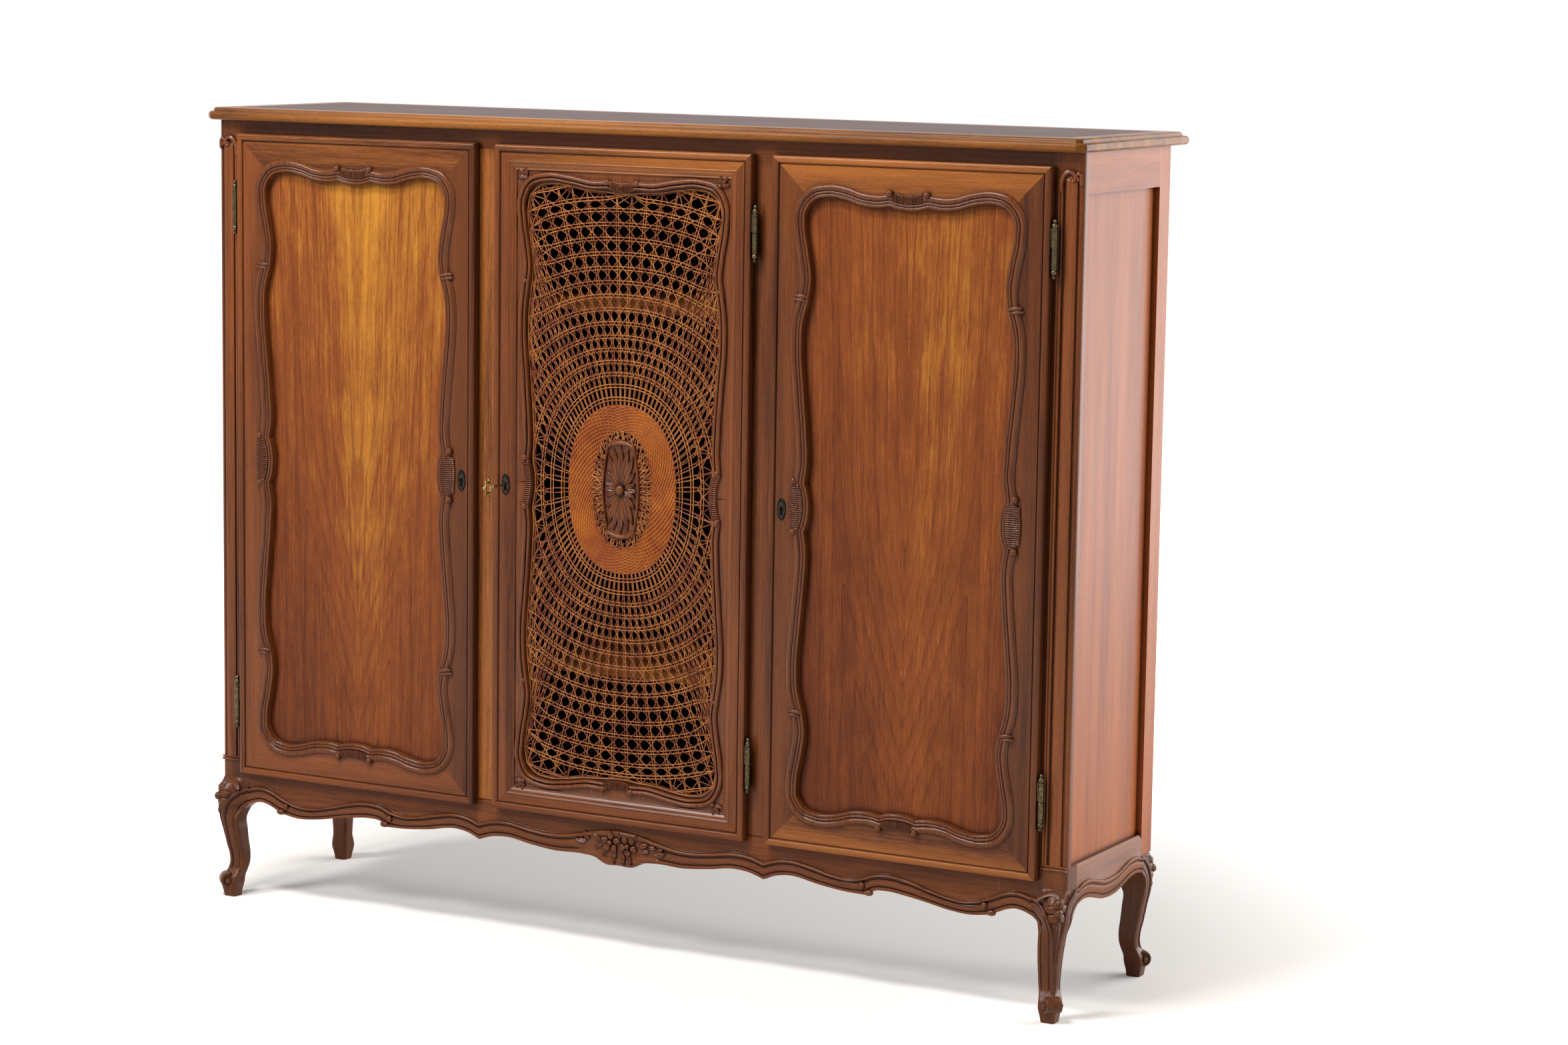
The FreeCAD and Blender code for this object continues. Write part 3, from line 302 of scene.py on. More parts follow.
# Key: length of its bow, collar behind the bow as (radius, distance), scrolls as (along, up, radius, start)
KEY_BOW = 25.0
KEY_COLLAR = [(0.0, -2), (2.6, -1.5), (3.2, 0), (2.4, 1.2), (3.4, 2.6), (3.4, 4), (2.2, 5.2), (2.8, 7),
              (2.2, 8.6), (2.1, 10)]
KEY_SCROLLS = [(17, 12, 4.2, -1.2), (8.5, 9.5, 3.4, 0.4)]

# Stage: floor in metres, lamps as (name, place, aim, size, watts), and the camera, whose lens is in pixels of
# the photograph's width
FLOOR_REACH = 14.0
WORLD_STRENGTH = 0.20
LAMPS = [
    ("overhead", (-0.4, -2.0, 4.0), (0, 0, 0.8), (1.4, 0.7), 125),
    ("front_left", (-2.7, -4.0, 4.0), (0, 0, 0.7), (1.3, 1.1), 175),
    ("right_back", (3.4, 2.9, 1.9), (0.85, 0.0, 0.8), (5.0, 4.0), 290),
]
CAMERA_PLACE = (3.3770, -5.7944, 1.7037)
CAMERA_YAW = math.radians(28.497)
CAMERA_PITCH = math.radians(8.130)
CAMERA_ROLL = math.radians(0.863)
SENSOR_WIDTH = 36.0
PHOTO_WIDTH = 2352
LENS_PIXELS = 5794.0


def hex_colour(text):
    """Linear colour from an sRGB hex value."""
    srgb = np.array([int(text[i:i + 2], 16) for i in (1, 3, 5)]) / 255
    return np.where(srgb <= 0.04045, srgb / 12.92, ((srgb + 0.055) / 1.055) ** 2.4)


def length_property(name, description, millimetres):
    """Length that a user may change, kept in metres."""
    return FloatProperty(name=name, description=description, default=millimetres * MM, min=0.0,
                         subtype="DISTANCE", unit="LENGTH", precision=4)


def colour_property(name, description, text):
    """Colour that a user may change."""
    return FloatVectorProperty(name=name, description=description, default=tuple(hex_colour(text)), size=3,
                               min=0.0, max=1.0, subtype="COLOR")


class CredenzaSizes(bpy.types.PropertyGroup):
    """Sizes of the carved and woven work."""
    lip_width: length_property("Lip width", "Width of the rounded lip round each door", 12.5)
    reed_height: length_property("Reed height", "Height of the moulding's outer reed above the door", 5.5)
    moulding_width: length_property("Moulding width", "Width of the sinuous door moulding", 23)
    shell_rib: length_property("Shell rib", "Distance between the ribs of the carved shells", 3.6)
    volute_radius: length_property("Volute radius", "Radius of the ball that ends a scroll", 6.2)
    apron_relief: length_property("Apron relief", "Height of the apron's carved band above its face", 6)
    strand_width: length_property("Cane width", "Width of one strand of cane", 1.85)
    strand_thickness: length_property("Cane thickness", "Thickness of one strand of cane", 1.1)
    pair_gap: length_property("Cane pair", "Distance between the two strands of a pair", 4.8)
    weave_row: length_property("Weave row", "Height of one row of the woven oval", 2.9)
    barrel_radius: length_property("Hinge radius", "Radius of the hinge barrels", 5)


class CredenzaColours(bpy.types.PropertyGroup):
    """Colours of the finishes."""
    veneer_gold: colour_property("Veneer gold", "Light figure of the door panels", "#B4782C")
    veneer_red: colour_property("Veneer red", "Middle figure of the door panels", "#82451F")
    veneer_dark: colour_property("Veneer dark", "Dark figure of the door panels", "#5C2C14")
    walnut_light: colour_property("Walnut light", "Light streaks of the frames", "#7C4420")
    walnut_dark: colour_property("Walnut dark", "Dark streaks of the frames", "#431E10")
    # Carving light is the carving's colour where nothing shades it; carving shade is painted shade in its
    # hollows.
    carving_light: colour_property("Carving light", "Rubbed edges of the carving", "#6F3C1A")
    carving_shade: colour_property("Carving dark", "Wax left in the carving's hollows", "#241209")
    top_dark: colour_property("Top", "Upper face of the top board", "#4A2A22")
    cane_light: colour_property("Cane light", "Light cane", "#AA6C39")
    cane_dark: colour_property("Cane dark", "Reddish cane", "#5E2B1F")
    # Inner wood is painted very dark, standing for the shade inside the shut case, so that the cane's holes
    # show black.
    inner_wood: colour_property("Inner wood", "Back and inner faces", "#24150C")
    brass: colour_property("Brass", "Aged brass of the hinges", "#5E523B")
    bronze: colour_property("Bronze", "Dark bronze of the escutcheons", "#3B352F")


# Flat local frames and shapes

class Shape:
    """Points and faces of a surface, in millimetres."""

    def __init__(self, points, faces):
        self.points = points
        self.faces = faces


def join(shapes):
    """One shape of several, kept as separate islands."""
    starts = np.cumsum([0] + [len(shape.points) for shape in shapes[:-1]])
    faces = [[index + start for index in face]
             for shape, start in zip(shapes, starts) for face in shape.faces]
    return Shape(np.concatenate([shape.points for shape in shapes]), faces)


def flip(shape, axis=0, about=0.0):
    """Mirror image across a plane square to an axis."""
    points = shape.points.copy()
    points[:, axis] = 2 * about - points[:, axis]
    return Shape(points, shape.faces)


def grid(points, wrap_rows=False, wrap_columns=False, caps=False):
    """Quads between neighbours of a (rows, columns, 3) array, wrapped round, or capped at its end rows."""
    rows, columns = points.shape[:2]
    index = np.arange(rows * columns).reshape(rows, columns)
    if wrap_rows:
        index = np.concatenate([index, index[:1]])
    if wrap_columns:
        index = np.concatenate([index, index[:, :1]], axis=1)
    quads = np.stack([index[:-1, :-1], index[:-1, 1:], index[1:, 1:], index[1:, :-1]], axis=-1)
    faces = quads.reshape(-1, 4).tolist()
    if caps:
        faces += [list(range(columns)), list(range((rows - 1) * columns, rows * columns))]
    return Shape(points.reshape(-1, 3), faces)


def local_frame(origin, axes=FRONT_AXES):
    """Flat frame: its origin and its across, up and out directions."""
    return np.array(origin, float), np.array(axes, float)


def place(plane, across, up, out):
    """Points of a flat frame from three arrays of local distances."""
    origin, axes = plane
    local = np.stack(np.broadcast_arrays(across, up, out), axis=-1)
    return origin + local @ axes


def hermite(knots, values, at):
    """Cubic curve through values at their knots, with slopes from the neighbours, at new places."""
    slope = np.gradient(values, knots, axis=0)
    start = np.clip(np.searchsorted(knots, at, side="right") - 1, 0, len(knots) - 2)
    span = (knots[start + 1] - knots[start])[:, None]
    t = (at - knots[start])[:, None] / span
    return ((2 * t**3 - 3 * t**2 + 1) * values[start] + (t**3 - 2 * t**2 + t) * span * slope[start]
            + (3 * t**2 - 2 * t**3) * values[start + 1] + (t**3 - t**2) * span * slope[start + 1])


def lengths_along(path):
    """Length along a path at each of its points."""
    return np.concatenate([[0], np.cumsum(np.linalg.norm(np.diff(path, axis=0), axis=1))])


def smooth_curve(points, step):
    """Cubic curve through points by their chord lengths, at even steps along its length."""
    points = np.asarray(points, float)
    chord = lengths_along(points)
    return resample(hermite(chord, points, np.linspace(0, chord[-1], 30 * len(points))), step)


def resample(curve, step):
    """The same polyline at even steps along its length."""
    length = lengths_along(curve)
    even = np.linspace(0, length[-1], max(int(round(length[-1] / step)), 2) + 1)
    return np.stack([np.interp(even, length, column) for column in curve.T], axis=1)


def closed_outline(quarter, step):
    """Clockwise closed path: a quarter in smooth pieces, mirrored about both middle lines."""
    pieces = [smooth_curve(piece, step) for piece in quarter]
    first = np.concatenate([piece[:-1] for piece in pieces] + [pieces[-1][-1:]])
    right = np.concatenate([first, (first * (1, -1))[-2::-1]])
    return np.concatenate([right, (right * (-1, 1))[-2:0:-1]])


def outward_normals(path, closed=True):
    """Unit normals on the left of a path, which is outward on a clockwise one."""
    ahead = np.roll(path, -1, 0) - np.roll(path, 1, 0) if closed else np.gradient(path, axis=0)
    ahead = ahead / np.linalg.norm(ahead, axis=1, keepdims=True)
    return np.stack([-ahead[:, 1], ahead[:, 0]], axis=1)


def carry(plane, path, across, out, closed=True, caps=False):
    """Section carried along a flat path: across counts along the path's normal, out from the plane."""
    normal = outward_normals(path, closed)
    flat = path[:, None, :] + across[..., None] * normal[:, None, :]
    points = place(plane, flat[..., 0], flat[..., 1], out)
    return grid(points, wrap_rows=closed, wrap_columns=True, caps=caps)


def tube(path, radii, sides=8, squash=1.0, lean=(0, 1, 0)):
    """Round bar along a path in space, with a radius at each point, flattened along the lean direction."""
    path = np.asarray(path, float)
    ahead = np.gradient(path, axis=0)
    ahead /= np.linalg.norm(ahead, axis=1, keepdims=True)
    beside = np.cross(ahead, np.broadcast_to(np.array(lean, float), ahead.shape))
    beside /= np.linalg.norm(beside, axis=1, keepdims=True)
    above = np.cross(beside, ahead)
    turn = np.linspace(0, 2 * np.pi, sides, endpoint=False)[None, :, None]
    radii = np.broadcast_to(np.asarray(radii, float), (len(path),))[:, None, None]
    ring = np.cos(turn) * beside[:, None] + squash * np.sin(turn) * above[:, None]
    return grid(path[:, None] + radii * ring, wrap_columns=True, caps=True)


def bead(plane, centre, radii, rows=10, columns=16):
    """Ellipsoid: cosines of two angles scaled by its three radii about a local centre."""
    polar = np.linspace(0, np.pi, rows + 1)[1:-1, None]
    turn = np.linspace(0, 2 * np.pi, columns, endpoint=False)[None]
    across = centre[0] + radii[0] * np.sin(polar) * np.cos(turn)
    up = centre[1] + radii[1] * np.sin(polar) * np.sin(turn)
    out = centre[2] + radii[2] * np.cos(polar) * np.ones_like(turn)
    return grid(place(plane, across, up, out), wrap_columns=True, caps=True)


def leaf(plane, base, angle, length, width, rise, bend=0.0, lift=0.0, groove=0.35):
    """Carved leaf: a sine outline along a bent midline, domed across and grooved along the midrib."""
    along = np.linspace(0, 1, 15)[:, None]
    side = np.linspace(-1, 1, 11)[None]
    half = width / 2 * np.sin(np.pi * np.clip(along, 0.02, 0.98) ** 0.8) ** 0.75
    heading = angle + bend * along
    middle_across = base[0] + length * np.cumsum(np.cos(heading), axis=0) / len(along)
    middle_up = base[1] + length * np.cumsum(np.sin(heading), axis=0) / len(along)
    across = middle_across - np.sin(heading) * half * side
    up = middle_up + np.cos(heading) * half * side
    dome = np.sqrt(np.clip(1 - side**2, 0, 1)) * (1 - groove * np.exp(-(side / 0.22) ** 2))
    out = base[2] + rise * dome * np.sin(np.pi * (0.12 + 0.8 * along)) ** 0.6 + lift * along**2
    front = place(plane, across, up, out)
    back = place(plane, across, up, np.full_like(out, base[2] - 1.0))
    return grid(np.concatenate([front, back[:, ::-1]], axis=1), wrap_columns=True, caps=True)


def volute(plane, centre, radius, thickness, turns=1.4, start=0.0, hand=1, rise=2.0):
    """Scroll: a tapering bar along a spiral whose radius falls evenly as it turns, and a ball as its eye."""
    share = np.linspace(0, 1, int(26 * turns) + 2)
    angle = start + hand * 2 * np.pi * turns * share
    reach = radius * (1 - 0.8 * share)
    path = place(plane, centre[0] + reach * np.cos(angle), centre[1] + reach * np.sin(angle),
                 centre[2] + rise * share)
    bar = tube(path, thickness * (1 - 0.35 * share), sides=8, lean=plane[1][2])
    eye = bead(plane, (centre[0], centre[1], centre[2] + rise), (0.32 * radius,) * 2 + (0.32 * radius + 1,))
    return join([bar, eye])


def lathe(plane, centre, profile, sides=20):
    """Turned piece: pairs of radius and height carried round the plane's up direction."""
    radius, height = np.array(profile, float).T
    turn = np.linspace(0, 2 * np.pi, sides, endpoint=False)
    across = centre[0] + radius[:, None] * np.cos(turn)
    out = centre[2] + radius[:, None] * np.sin(turn)
    up = centre[1] + np.repeat(height[:, None], sides, axis=1)
    return grid(place(plane, across, up, out), wrap_columns=True, caps=True)


def slab(low, high):
    """Plain plank between two corners."""
    across, depth = np.array([0, 1, 1, 0]), np.array([0, 0, 1, 1])
    rows = [np.stack([low[0] + across * (high[0] - low[0]), low[1] + depth * (high[1] - low[1]),
                      np.full(4, level)], axis=-1) for level in (low[2], high[2])]
    return grid(np.array(rows), wrap_columns=True, caps=True)


def smooth_step(value, low, high):
    """Smooth rise from 0 at low to 1 at high."""
    t = np.clip((value - low) / (high - low), 0, 1)
    return t * t * (3 - 2 * t)


def reed(across, centre, half):
    """Half-round ridge of height 1 about a centre line."""
    return np.sqrt(np.clip(1 - ((across - centre) / half) ** 2, 0, 1))


def make_piece(name, shape, material, body, stands_for=()):
    """Object from a shape: doubles merged, faces turned outward, smooth but for its sharp edges."""
    mesh = bpy.data.meshes.new(name)
    mesh.from_pydata((shape.points * MM).tolist(), [], shape.faces)
    work = bmesh.new()
    work.from_mesh(mesh)
    bmesh.ops.remove_doubles(work, verts=work.verts, dist=1e-6)
    bmesh.ops.recalc_face_normals(work, faces=work.faces)
    work.to_mesh(mesh)
    work.free()
    mesh.polygons.foreach_set("use_smooth", np.ones(len(mesh.polygons), bool))
    mesh.set_sharp_from_angle(angle=SHARP_EDGE)
    mesh.materials.append(material)
    piece = bpy.data.objects.new(name, mesh)
    bpy.context.scene.collection.objects.link(piece)
    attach(piece, body)
    if stands_for:
        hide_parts(*stands_for)


def make_pair(name, shape, material, stands_for=None):
    """Piece on the right of the case and its mirror image on the left."""
    for side, half in (("right", shape), ("left", flip(shape))):
        nodes = (f"{side}_{stands_for}",) if stands_for else ()
        make_piece(f"{side}_{name}", half, material, "carcass", nodes)


def length_of(key):
    """Size set in the panel, in millimetres."""
    return getattr(bpy.context.scene.credenza_sizes, key) / MM


def palette(key):
    """Colour set in the panel, as an array."""
    return np.array(getattr(bpy.context.scene.credenza_colours, key))


# Materials

GRAIN_SCALES = {"X": (0, 1, 1), "Y": (1, 0, 1), "Z": (1, 1, 0)}
CLEAR = (1.0, 1.0, 1.0)
MULTIPLY = {"data_type": "RGBA", "blend_type": "MULTIPLY"}
# Book-matched veneer, in metres or shares: lean of the leaves, place of the figure's axis, how the arches
# near the seam and close, softness of their start and tip, drift of a line, and millimetres between lines
LEAF_LEAN = 0.03
AXIS_OUT = 0.125
AXIS_NEARS = 0.13
ARCH_SLOPE = 0.17
ARCH_START = 0.20
ARCH_ROUND = 0.006
LINE_DRIFT = 0.022
LINE_STEP = 20.944


def set_inputs(tree, node, inputs):
    """Give a node's inputs their constants, or link them to the sockets that feed them."""
    for socket, value in inputs.items():
        if isinstance(value, bpy.types.NodeSocket):
            tree.links.new(value, node.inputs[socket])
        else:
            node.inputs[socket].default_value = value


def add_node(tree, kind, inputs=None, output=0, stops=(), **settings):
    """One output of a new node, with its settings, inputs and, on a ramp, its (place, colour) stops."""
    node = tree.nodes.new(f"ShaderNode{kind}")
    for key, value in settings.items():
        setattr(node, key, value)
    set_inputs(tree, node, inputs or {})
    if stops:
        elements = node.color_ramp.elements
        while len(elements) < len(stops):
            elements.new(0.5)
        for element, (where, colour) in zip(elements, stops):
            element.position = where
            element.color = (*colour, 1.0)
    return node.outputs[output]


def start_material(name):
    """Material with its node tree, shader and Object coordinate, or with no tree where it is made already."""
    material = bpy.data.materials.get(name)
    if material:
        return material, None, None, None
    material = bpy.data.materials.new(name)
    material.use_nodes = True
    tree = material.node_tree
    return material, tree, tree.nodes["Principled BSDF"], add_node(tree, "TexCoord", output="Object")


def grain_noise(tree, vector, axis, width, length, detail=3.0):
    """Noise drawn out along the grain: one cell is width by length, in millimetres."""
    scale = [1 / (width * MM) if across else 1 / (length * MM) for across in GRAIN_SCALES[axis]]
    stretched = add_node(tree, "Mapping", {"Vector": vector, "Scale": scale})
    return add_node(tree, "TexNoise", {"Vector": stretched, "Scale": 1.0, "Detail": detail, "Roughness": 0.6})


def finish_wood(tree, shader, colour, vector, axis, roughness, gloss, corner=11.0):
    """Rubbed varnish over wood: fine dark pores along the grain, and painted shade in corners up to a depth.

    Real pores are about 0.2 mm wide; they are drawn 0.7 mm wide, so that they show.
    """
    pores = grain_noise(tree, vector, axis, 0.7, 9, 2.0)
    dark = add_node(tree, "ValToRGB", {"Fac": pores}, stops=[(0.32, (0.50, 0.43, 0.40)), (0.46, CLEAR)])
    shade = add_node(tree, "Mix", {0: 0.65, 6: colour, 7: dark}, 2, **MULTIPLY)
    if corner:
        # Painted shade: ambient occlusion darkens corners and recesses up to the given depth.
        hollow = add_node(tree, "AmbientOcclusion", {"Distance": corner * MM}, "AO", samples=6)
        corner_shade = add_node(tree, "ValToRGB", {"Fac": hollow}, stops=[(0.30, (0.13, 0.09, 0.07)), (0.90, CLEAR)])
        shade = add_node(tree, "Mix", {0: 1.0, 6: shade, 7: corner_shade}, 2, **MULTIPLY)
    bump = add_node(tree, "Bump", {"Height": pores, "Strength": 0.10, "Distance": 0.0003})
    sheen = grain_noise(tree, vector, axis, 14, 160)
    rough = add_node(tree, "MapRange", {"Value": sheen, "To Min": roughness - 0.06,
                                        "To Max": roughness + 0.08})
    set_inputs(tree, shader, {"Base Color": shade, "Normal": bump, "Roughness": rough, "IOR": 1.5,
                              "Specular IOR Level": gloss})


def figured(tree, vector, axis, dark, middle, light, shift=None, band_share=1.0):
    """Colour of plain-sawn walnut: soft bands, streaks and fibres, added up into one place on a ramp.

    Each part is (width, length, detail, share); a shifted figure is mottled too.
    """
    band = grain_noise(tree, vector, axis, 48, 900, 2.0)
    rest = 0.5 - 0.5 * band_share
    total = add_node(tree, "Math", {0: band, 1: band_share, 2: rest}, operation="MULTIPLY_ADD")
    parts = [(3.5, 110, 3.0, 0.45), (1.1, 26, 2.0, 0.35)]
    if shift:
        parts.append((22, 70, 3.0, 0.3))
    for width, length, detail, share in parts:
        part = grain_noise(tree, vector, axis, width, length, detail)
        total = add_node(tree, "Math", {0: part, 1: share, 2: total}, operation="MULTIPLY_ADD")
    if shift:
        level = add_node(tree, "Math", {0: shift, 1: 0.15}, operation="SUBTRACT")
        total = add_node(tree, "Math", {0: total, 1: level}, operation="ADD")
    spread = add_node(tree, "MapRange", {"Value": total, "From Min": 0.62, "From Max": 1.18})
    return add_node(tree, "ValToRGB", {"Fac": spread}, stops=[(0.0, dark), (0.5, middle), (1.0, light)])


def walnut(axis, part="frame", tone=1.0, gloss=0.16, roughness=0.22, golden=0.0, streak=0.65):
    """Walnut, sawn and French-polished: warm brown streaks a few millimetres wide, with a satin gloss."""
    material, tree, shader, vector = start_material(f"walnut_polished_{part}_{axis.lower()}")
    if tree:
        dark = streak * tone * palette("walnut_dark")
        pale = palette("walnut_light")
        light = 1.15 * tone * (pale + golden * (palette("veneer_gold") - pale))
        colour = figured(tree, vector, axis, dark, 0.45 * dark + 0.55 * light, light)
        finish_wood(tree, shader, colour, vector, axis, roughness, gloss)
    return material


def side_walnut(axis):
    """Walnut of the case's sides: boards painted lighter, for the light from the right that falls on them,
    with an older, duller polish.
    """
    return walnut(axis, "side", 1.6, 0.13, 0.34, streak=1.9)


def carved_walnut(part="border", tone=1.0, hollow_depth=9.0, axis="Z", roughness=0.17):
    """Walnut, carved and waxed: darker than the boards, with painted shade darkening its hollows, and its
    open faces at their own lighter colour.
    """
    material, tree, shader, vector = start_material(f"walnut_carved_{part}")
    if tree:
        streak = grain_noise(tree, vector, axis, 5, 90)
        board = add_node(tree, "MapRange", {"Value": streak, "From Min": 0.3, "From Max": 0.7, "To Min": 0.66,
                                            "To Max": 1.10})
        # Painted shade: ambient occlusion, times the grain, takes the colour from the dark of the hollows to
        # the light of the open faces.
        hollow = add_node(tree, "AmbientOcclusion", {"Distance": hollow_depth * MM}, "AO", samples=8,
                          only_local=True)
        grain_and_shade = add_node(tree, "Math", {0: board, 1: hollow}, operation="MULTIPLY")
        stops = [(0.20, palette("carving_shade")), (0.52, palette("walnut_dark")),
                 (0.95, tone * palette("carving_light"))]
        colour = add_node(tree, "ValToRGB", {"Fac": grain_and_shade}, stops=stops)
        finish_wood(tree, shader, colour, vector, axis, roughness, 0.20, corner=0)
    return material


def veneer(door, foot, gold):
    """Walnut veneer, book-matched: leaning stripes above, nested arches below, mirrored about a seam.

    A line of the figure keeps one value of |h| + k b. Here h is the distance from an axis that nears the seam
    going down, and b is how far the height lies below the foot height, or none above it. So the lines run
    upright above and close into pointed arches below. Light is painted in too: the veneer is lighter towards
    the top, by the door's gold share, lighter near the seam as a painted sheen, and lighter on one leaf.
    """
    material, tree, shader, vector = start_material(f"walnut_veneer_{door}")
    if not tree:
        return material
    seam = DOOR_CENTRES[door] * MM
    foot = foot * MM
    parts = add_node(tree, "SeparateXYZ", {"Vector": vector}).node.outputs
    height = parts["Z"]
    offset = add_node(tree, "Math", {0: parts["X"], 1: seam}, operation="SUBTRACT")
    mirror = add_node(tree, "Math", {0: offset}, operation="ABSOLUTE")
    leaning = add_node(tree, "Math", {0: height, 1: -LEAF_LEAN, 2: mirror}, operation="MULTIPLY_ADD")
    leaf_at = add_node(tree, "CombineXYZ", {"X": leaning, "Y": seam + 0.23, "Z": height})

    below = add_node(tree, "Math", {0: height, 1: foot}, operation="SUBTRACT")
    bent = add_node(tree, "Math", {0: below, 1: 0.0, 2: ARCH_START}, operation="SMOOTH_MIN")
    axis_out = add_node(tree, "Math", {0: bent, 1: -AXIS_NEARS, 2: leaning}, operation="MULTIPLY_ADD")
    from_axis = add_node(tree, "Math", {0: axis_out, 1: AXIS_OUT - LEAF_LEAN * foot}, operation="SUBTRACT")
    apart = add_node(tree, "CombineXYZ", {"X": from_axis, "Y": ARCH_ROUND})
    width = add_node(tree, "VectorMath", {0: apart}, "Value", operation="LENGTH")
    line = add_node(tree, "Math", {0: bent, 1: ARCH_SLOPE, 2: width}, operation="MULTIPLY_ADD")
    drift = add_node(tree, "TexNoise", {"Vector": leaf_at, "Scale": 1 / (200 * MM), "Detail": 3.0})
    drifted = add_node(tree, "Math", {0: drift, 1: LINE_DRIFT, 2: line}, operation="MULTIPLY_ADD")
    lines_at = add_node(tree, "CombineXYZ", {"X": drifted})
    lines_scale = math.pi / 10 / (LINE_STEP * MM)
    lines = add_node(tree, "TexWave", {"Vector": lines_at, "Scale": lines_scale, "Distortion": 0.0}, "Fac",
                     wave_type="BANDS", bands_direction="X", wave_profile="SAW")

    # Painted light: lighter towards the top as if lit from above, lighter near the seam as a sheen, lighter
    # on one leaf.
    top = add_node(tree, "MapRange", {"Value": height, "From Min": 0.3, "From Max": 1.35, "To Min": -0.16,
                                      "To Max": gold})
    near = add_node(tree, "MapRange", {"Value": mirror, "From Min": 0.0, "From Max": 0.17, "To Min": 0.04,
                                       "To Max": -0.06})
    lit = add_node(tree, "MapRange", {"Value": offset, "From Min": -0.05, "From Max": 0.03, "To Min": -0.06,
                                      "To Max": 0.03}, interpolation_type="SMOOTHSTEP")
    first = add_node(tree, "Math", {0: top, 1: near}, operation="ADD")
    shift = add_node(tree, "Math", {0: first, 1: lit}, operation="ADD")
    tones = [palette(f"veneer_{tone}") for tone in ("dark", "red", "gold")]
    base = figured(tree, leaf_at, "Z", *tones, shift, 0.34)
    stops = [(0.0, (1.03, 1.03, 1.02)), (0.6, (0.97, 0.96, 0.95)), (0.92, (0.80, 0.75, 0.72)),
             (0.97, (0.62, 0.54, 0.50))]
    figure = add_node(tree, "ValToRGB", {"Fac": lines}, stops=stops)
    colour = add_node(tree, "Mix", {0: 0.75, 6: base, 7: figure}, 2, **MULTIPLY)
    finish_wood(tree, shader, colour, leaf_at, "Z", 0.30, 0.11)
    return material


def stained_walnut(part, key, shade, streak, roughness, gloss):
    """Walnut, stained and oiled: dark and dull, with faint wide streaks along its length."""
    material, tree, shader, vector = start_material(f"walnut_stained_{part}")
    if tree:
        light = palette(key)
        grain = grain_noise(tree, vector, "X", *streak)
        colour = add_node(tree, "ValToRGB", {"Fac": grain}, stops=[(0.3, shade * light), (0.7, light)])
        finish_wood(tree, shader, colour, vector, "X", roughness, gloss)
    return material


def finish_cane(tree, shader, colour, depth, samples, stops, roughness, gloss):
    """Varnish over cane: brown shade in hollows of a depth between the strands."""
    hollow = add_node(tree, "AmbientOcclusion", {"Distance": depth * MM}, "AO", samples=samples)
    shade = add_node(tree, "ValToRGB", {"Fac": hollow}, stops=stops)
    shaded = add_node(tree, "Mix", {0: 1.0, 6: colour, 7: shade}, 2, **MULTIPLY)
    set_inputs(tree, shader, {"Base Color": shaded, "Roughness": roughness, "Specular IOR Level": gloss})


def rattan(part, redness):
    """Rattan, split and varnished: a glossy skin, straw to red-brown from strand to strand and along each."""
    material, tree, shader, vector = start_material(f"rattan_split_{part}")
    if tree:
        patch = add_node(tree, "TexNoise", {"Vector": vector, "Scale": 1 / (25 * MM), "Detail": 4.0,
                                            "Roughness": 0.7})
        own = add_node(tree, "NewGeometry", output="Random Per Island")
        tint = add_node(tree, "Math", {0: own, 1: 0.4, 2: patch}, operation="MULTIPLY_ADD")
        stops = [(0.45 + redness, palette("cane_dark")), (0.85 + redness, palette("cane_light"))]
        colour = add_node(tree, "ValToRGB", {"Fac": tint}, stops=stops)
        shade = [(0.20, (0.30, 0.20, 0.17)), (0.80, CLEAR)]
        finish_cane(tree, shader, colour, 5, 6, shade, 0.35, 0.16)
    return material


def woven_rattan():
    """Rattan, split and close-woven: orange-gold stitches with brown shade between the rows."""
    material, tree, shader, vector = start_material("rattan_woven")
    if tree:
        patch = add_node(tree, "TexNoise", {"Vector": vector, "Scale": 1 / (71.43 * MM), "Detail": 5.0,
                                            "Roughness": 0.75})
        red = palette("cane_dark") * (1.70, 1.56, 1.27)
        gold = palette("cane_light") * (1.08, 0.93, 0.55)
        colour = add_node(tree, "ValToRGB", {"Fac": patch}, stops=[(0.28, red), (0.75, gold)])
        shade = [(0.30, (0.40, 0.26, 0.18)), (0.75, CLEAR)]
        finish_cane(tree, shader, colour, 3, 8, shade, 0.4, 0.08)
    return material


def metal(name, colour, roughness):
    """Aged metal: patches of tarnish about 4 mm wide, brighter and smoother where they are rubbed."""
    material, tree, shader, vector = start_material(name)
    if tree:
        patch = add_node(tree, "TexNoise", {"Vector": vector, "Scale": 1 / (3.846 * MM), "Detail": 4.0})
        base = add_node(tree, "ValToRGB", {"Fac": patch}, stops=[(0.35, 0.45 * colour), (0.65, colour)])
        rough = add_node(tree, "MapRange", {"Value": patch, "To Min": roughness + 0.15,
                                            "To Max": roughness - 0.1})
        set_inputs(tree, shader, {"Base Color": base, "Metallic": 1.0, "Roughness": rough})
    return material


def aged_brass():
    """Brass, turned and left to tarnish: dull olive-brown with a soft shine."""
    return metal("brass_turned_aged", palette("brass"), 0.35)


def keyhole_painted_shade():
    """Painted shade inside a keyhole: a near-black sheet, from which hardly any light comes back."""
    material, tree, shader, vector = start_material("keyhole_painted_shade")
    if tree:
        speckle = add_node(tree, "TexNoise", {"Vector": vector, "Scale": 1 / (3.333 * MM), "Detail": 3.0})
        stops = [(0.4, (0.002, 0.002, 0.002)), (0.7, (0.007, 0.005, 0.004))]
        base = add_node(tree, "ValToRGB", {"Fac": speckle}, stops=stops)
        set_inputs(tree, shader, {"Base Color": base, "Roughness": 0.9, "Specular IOR Level": 0.05})
    return material


# Pieces

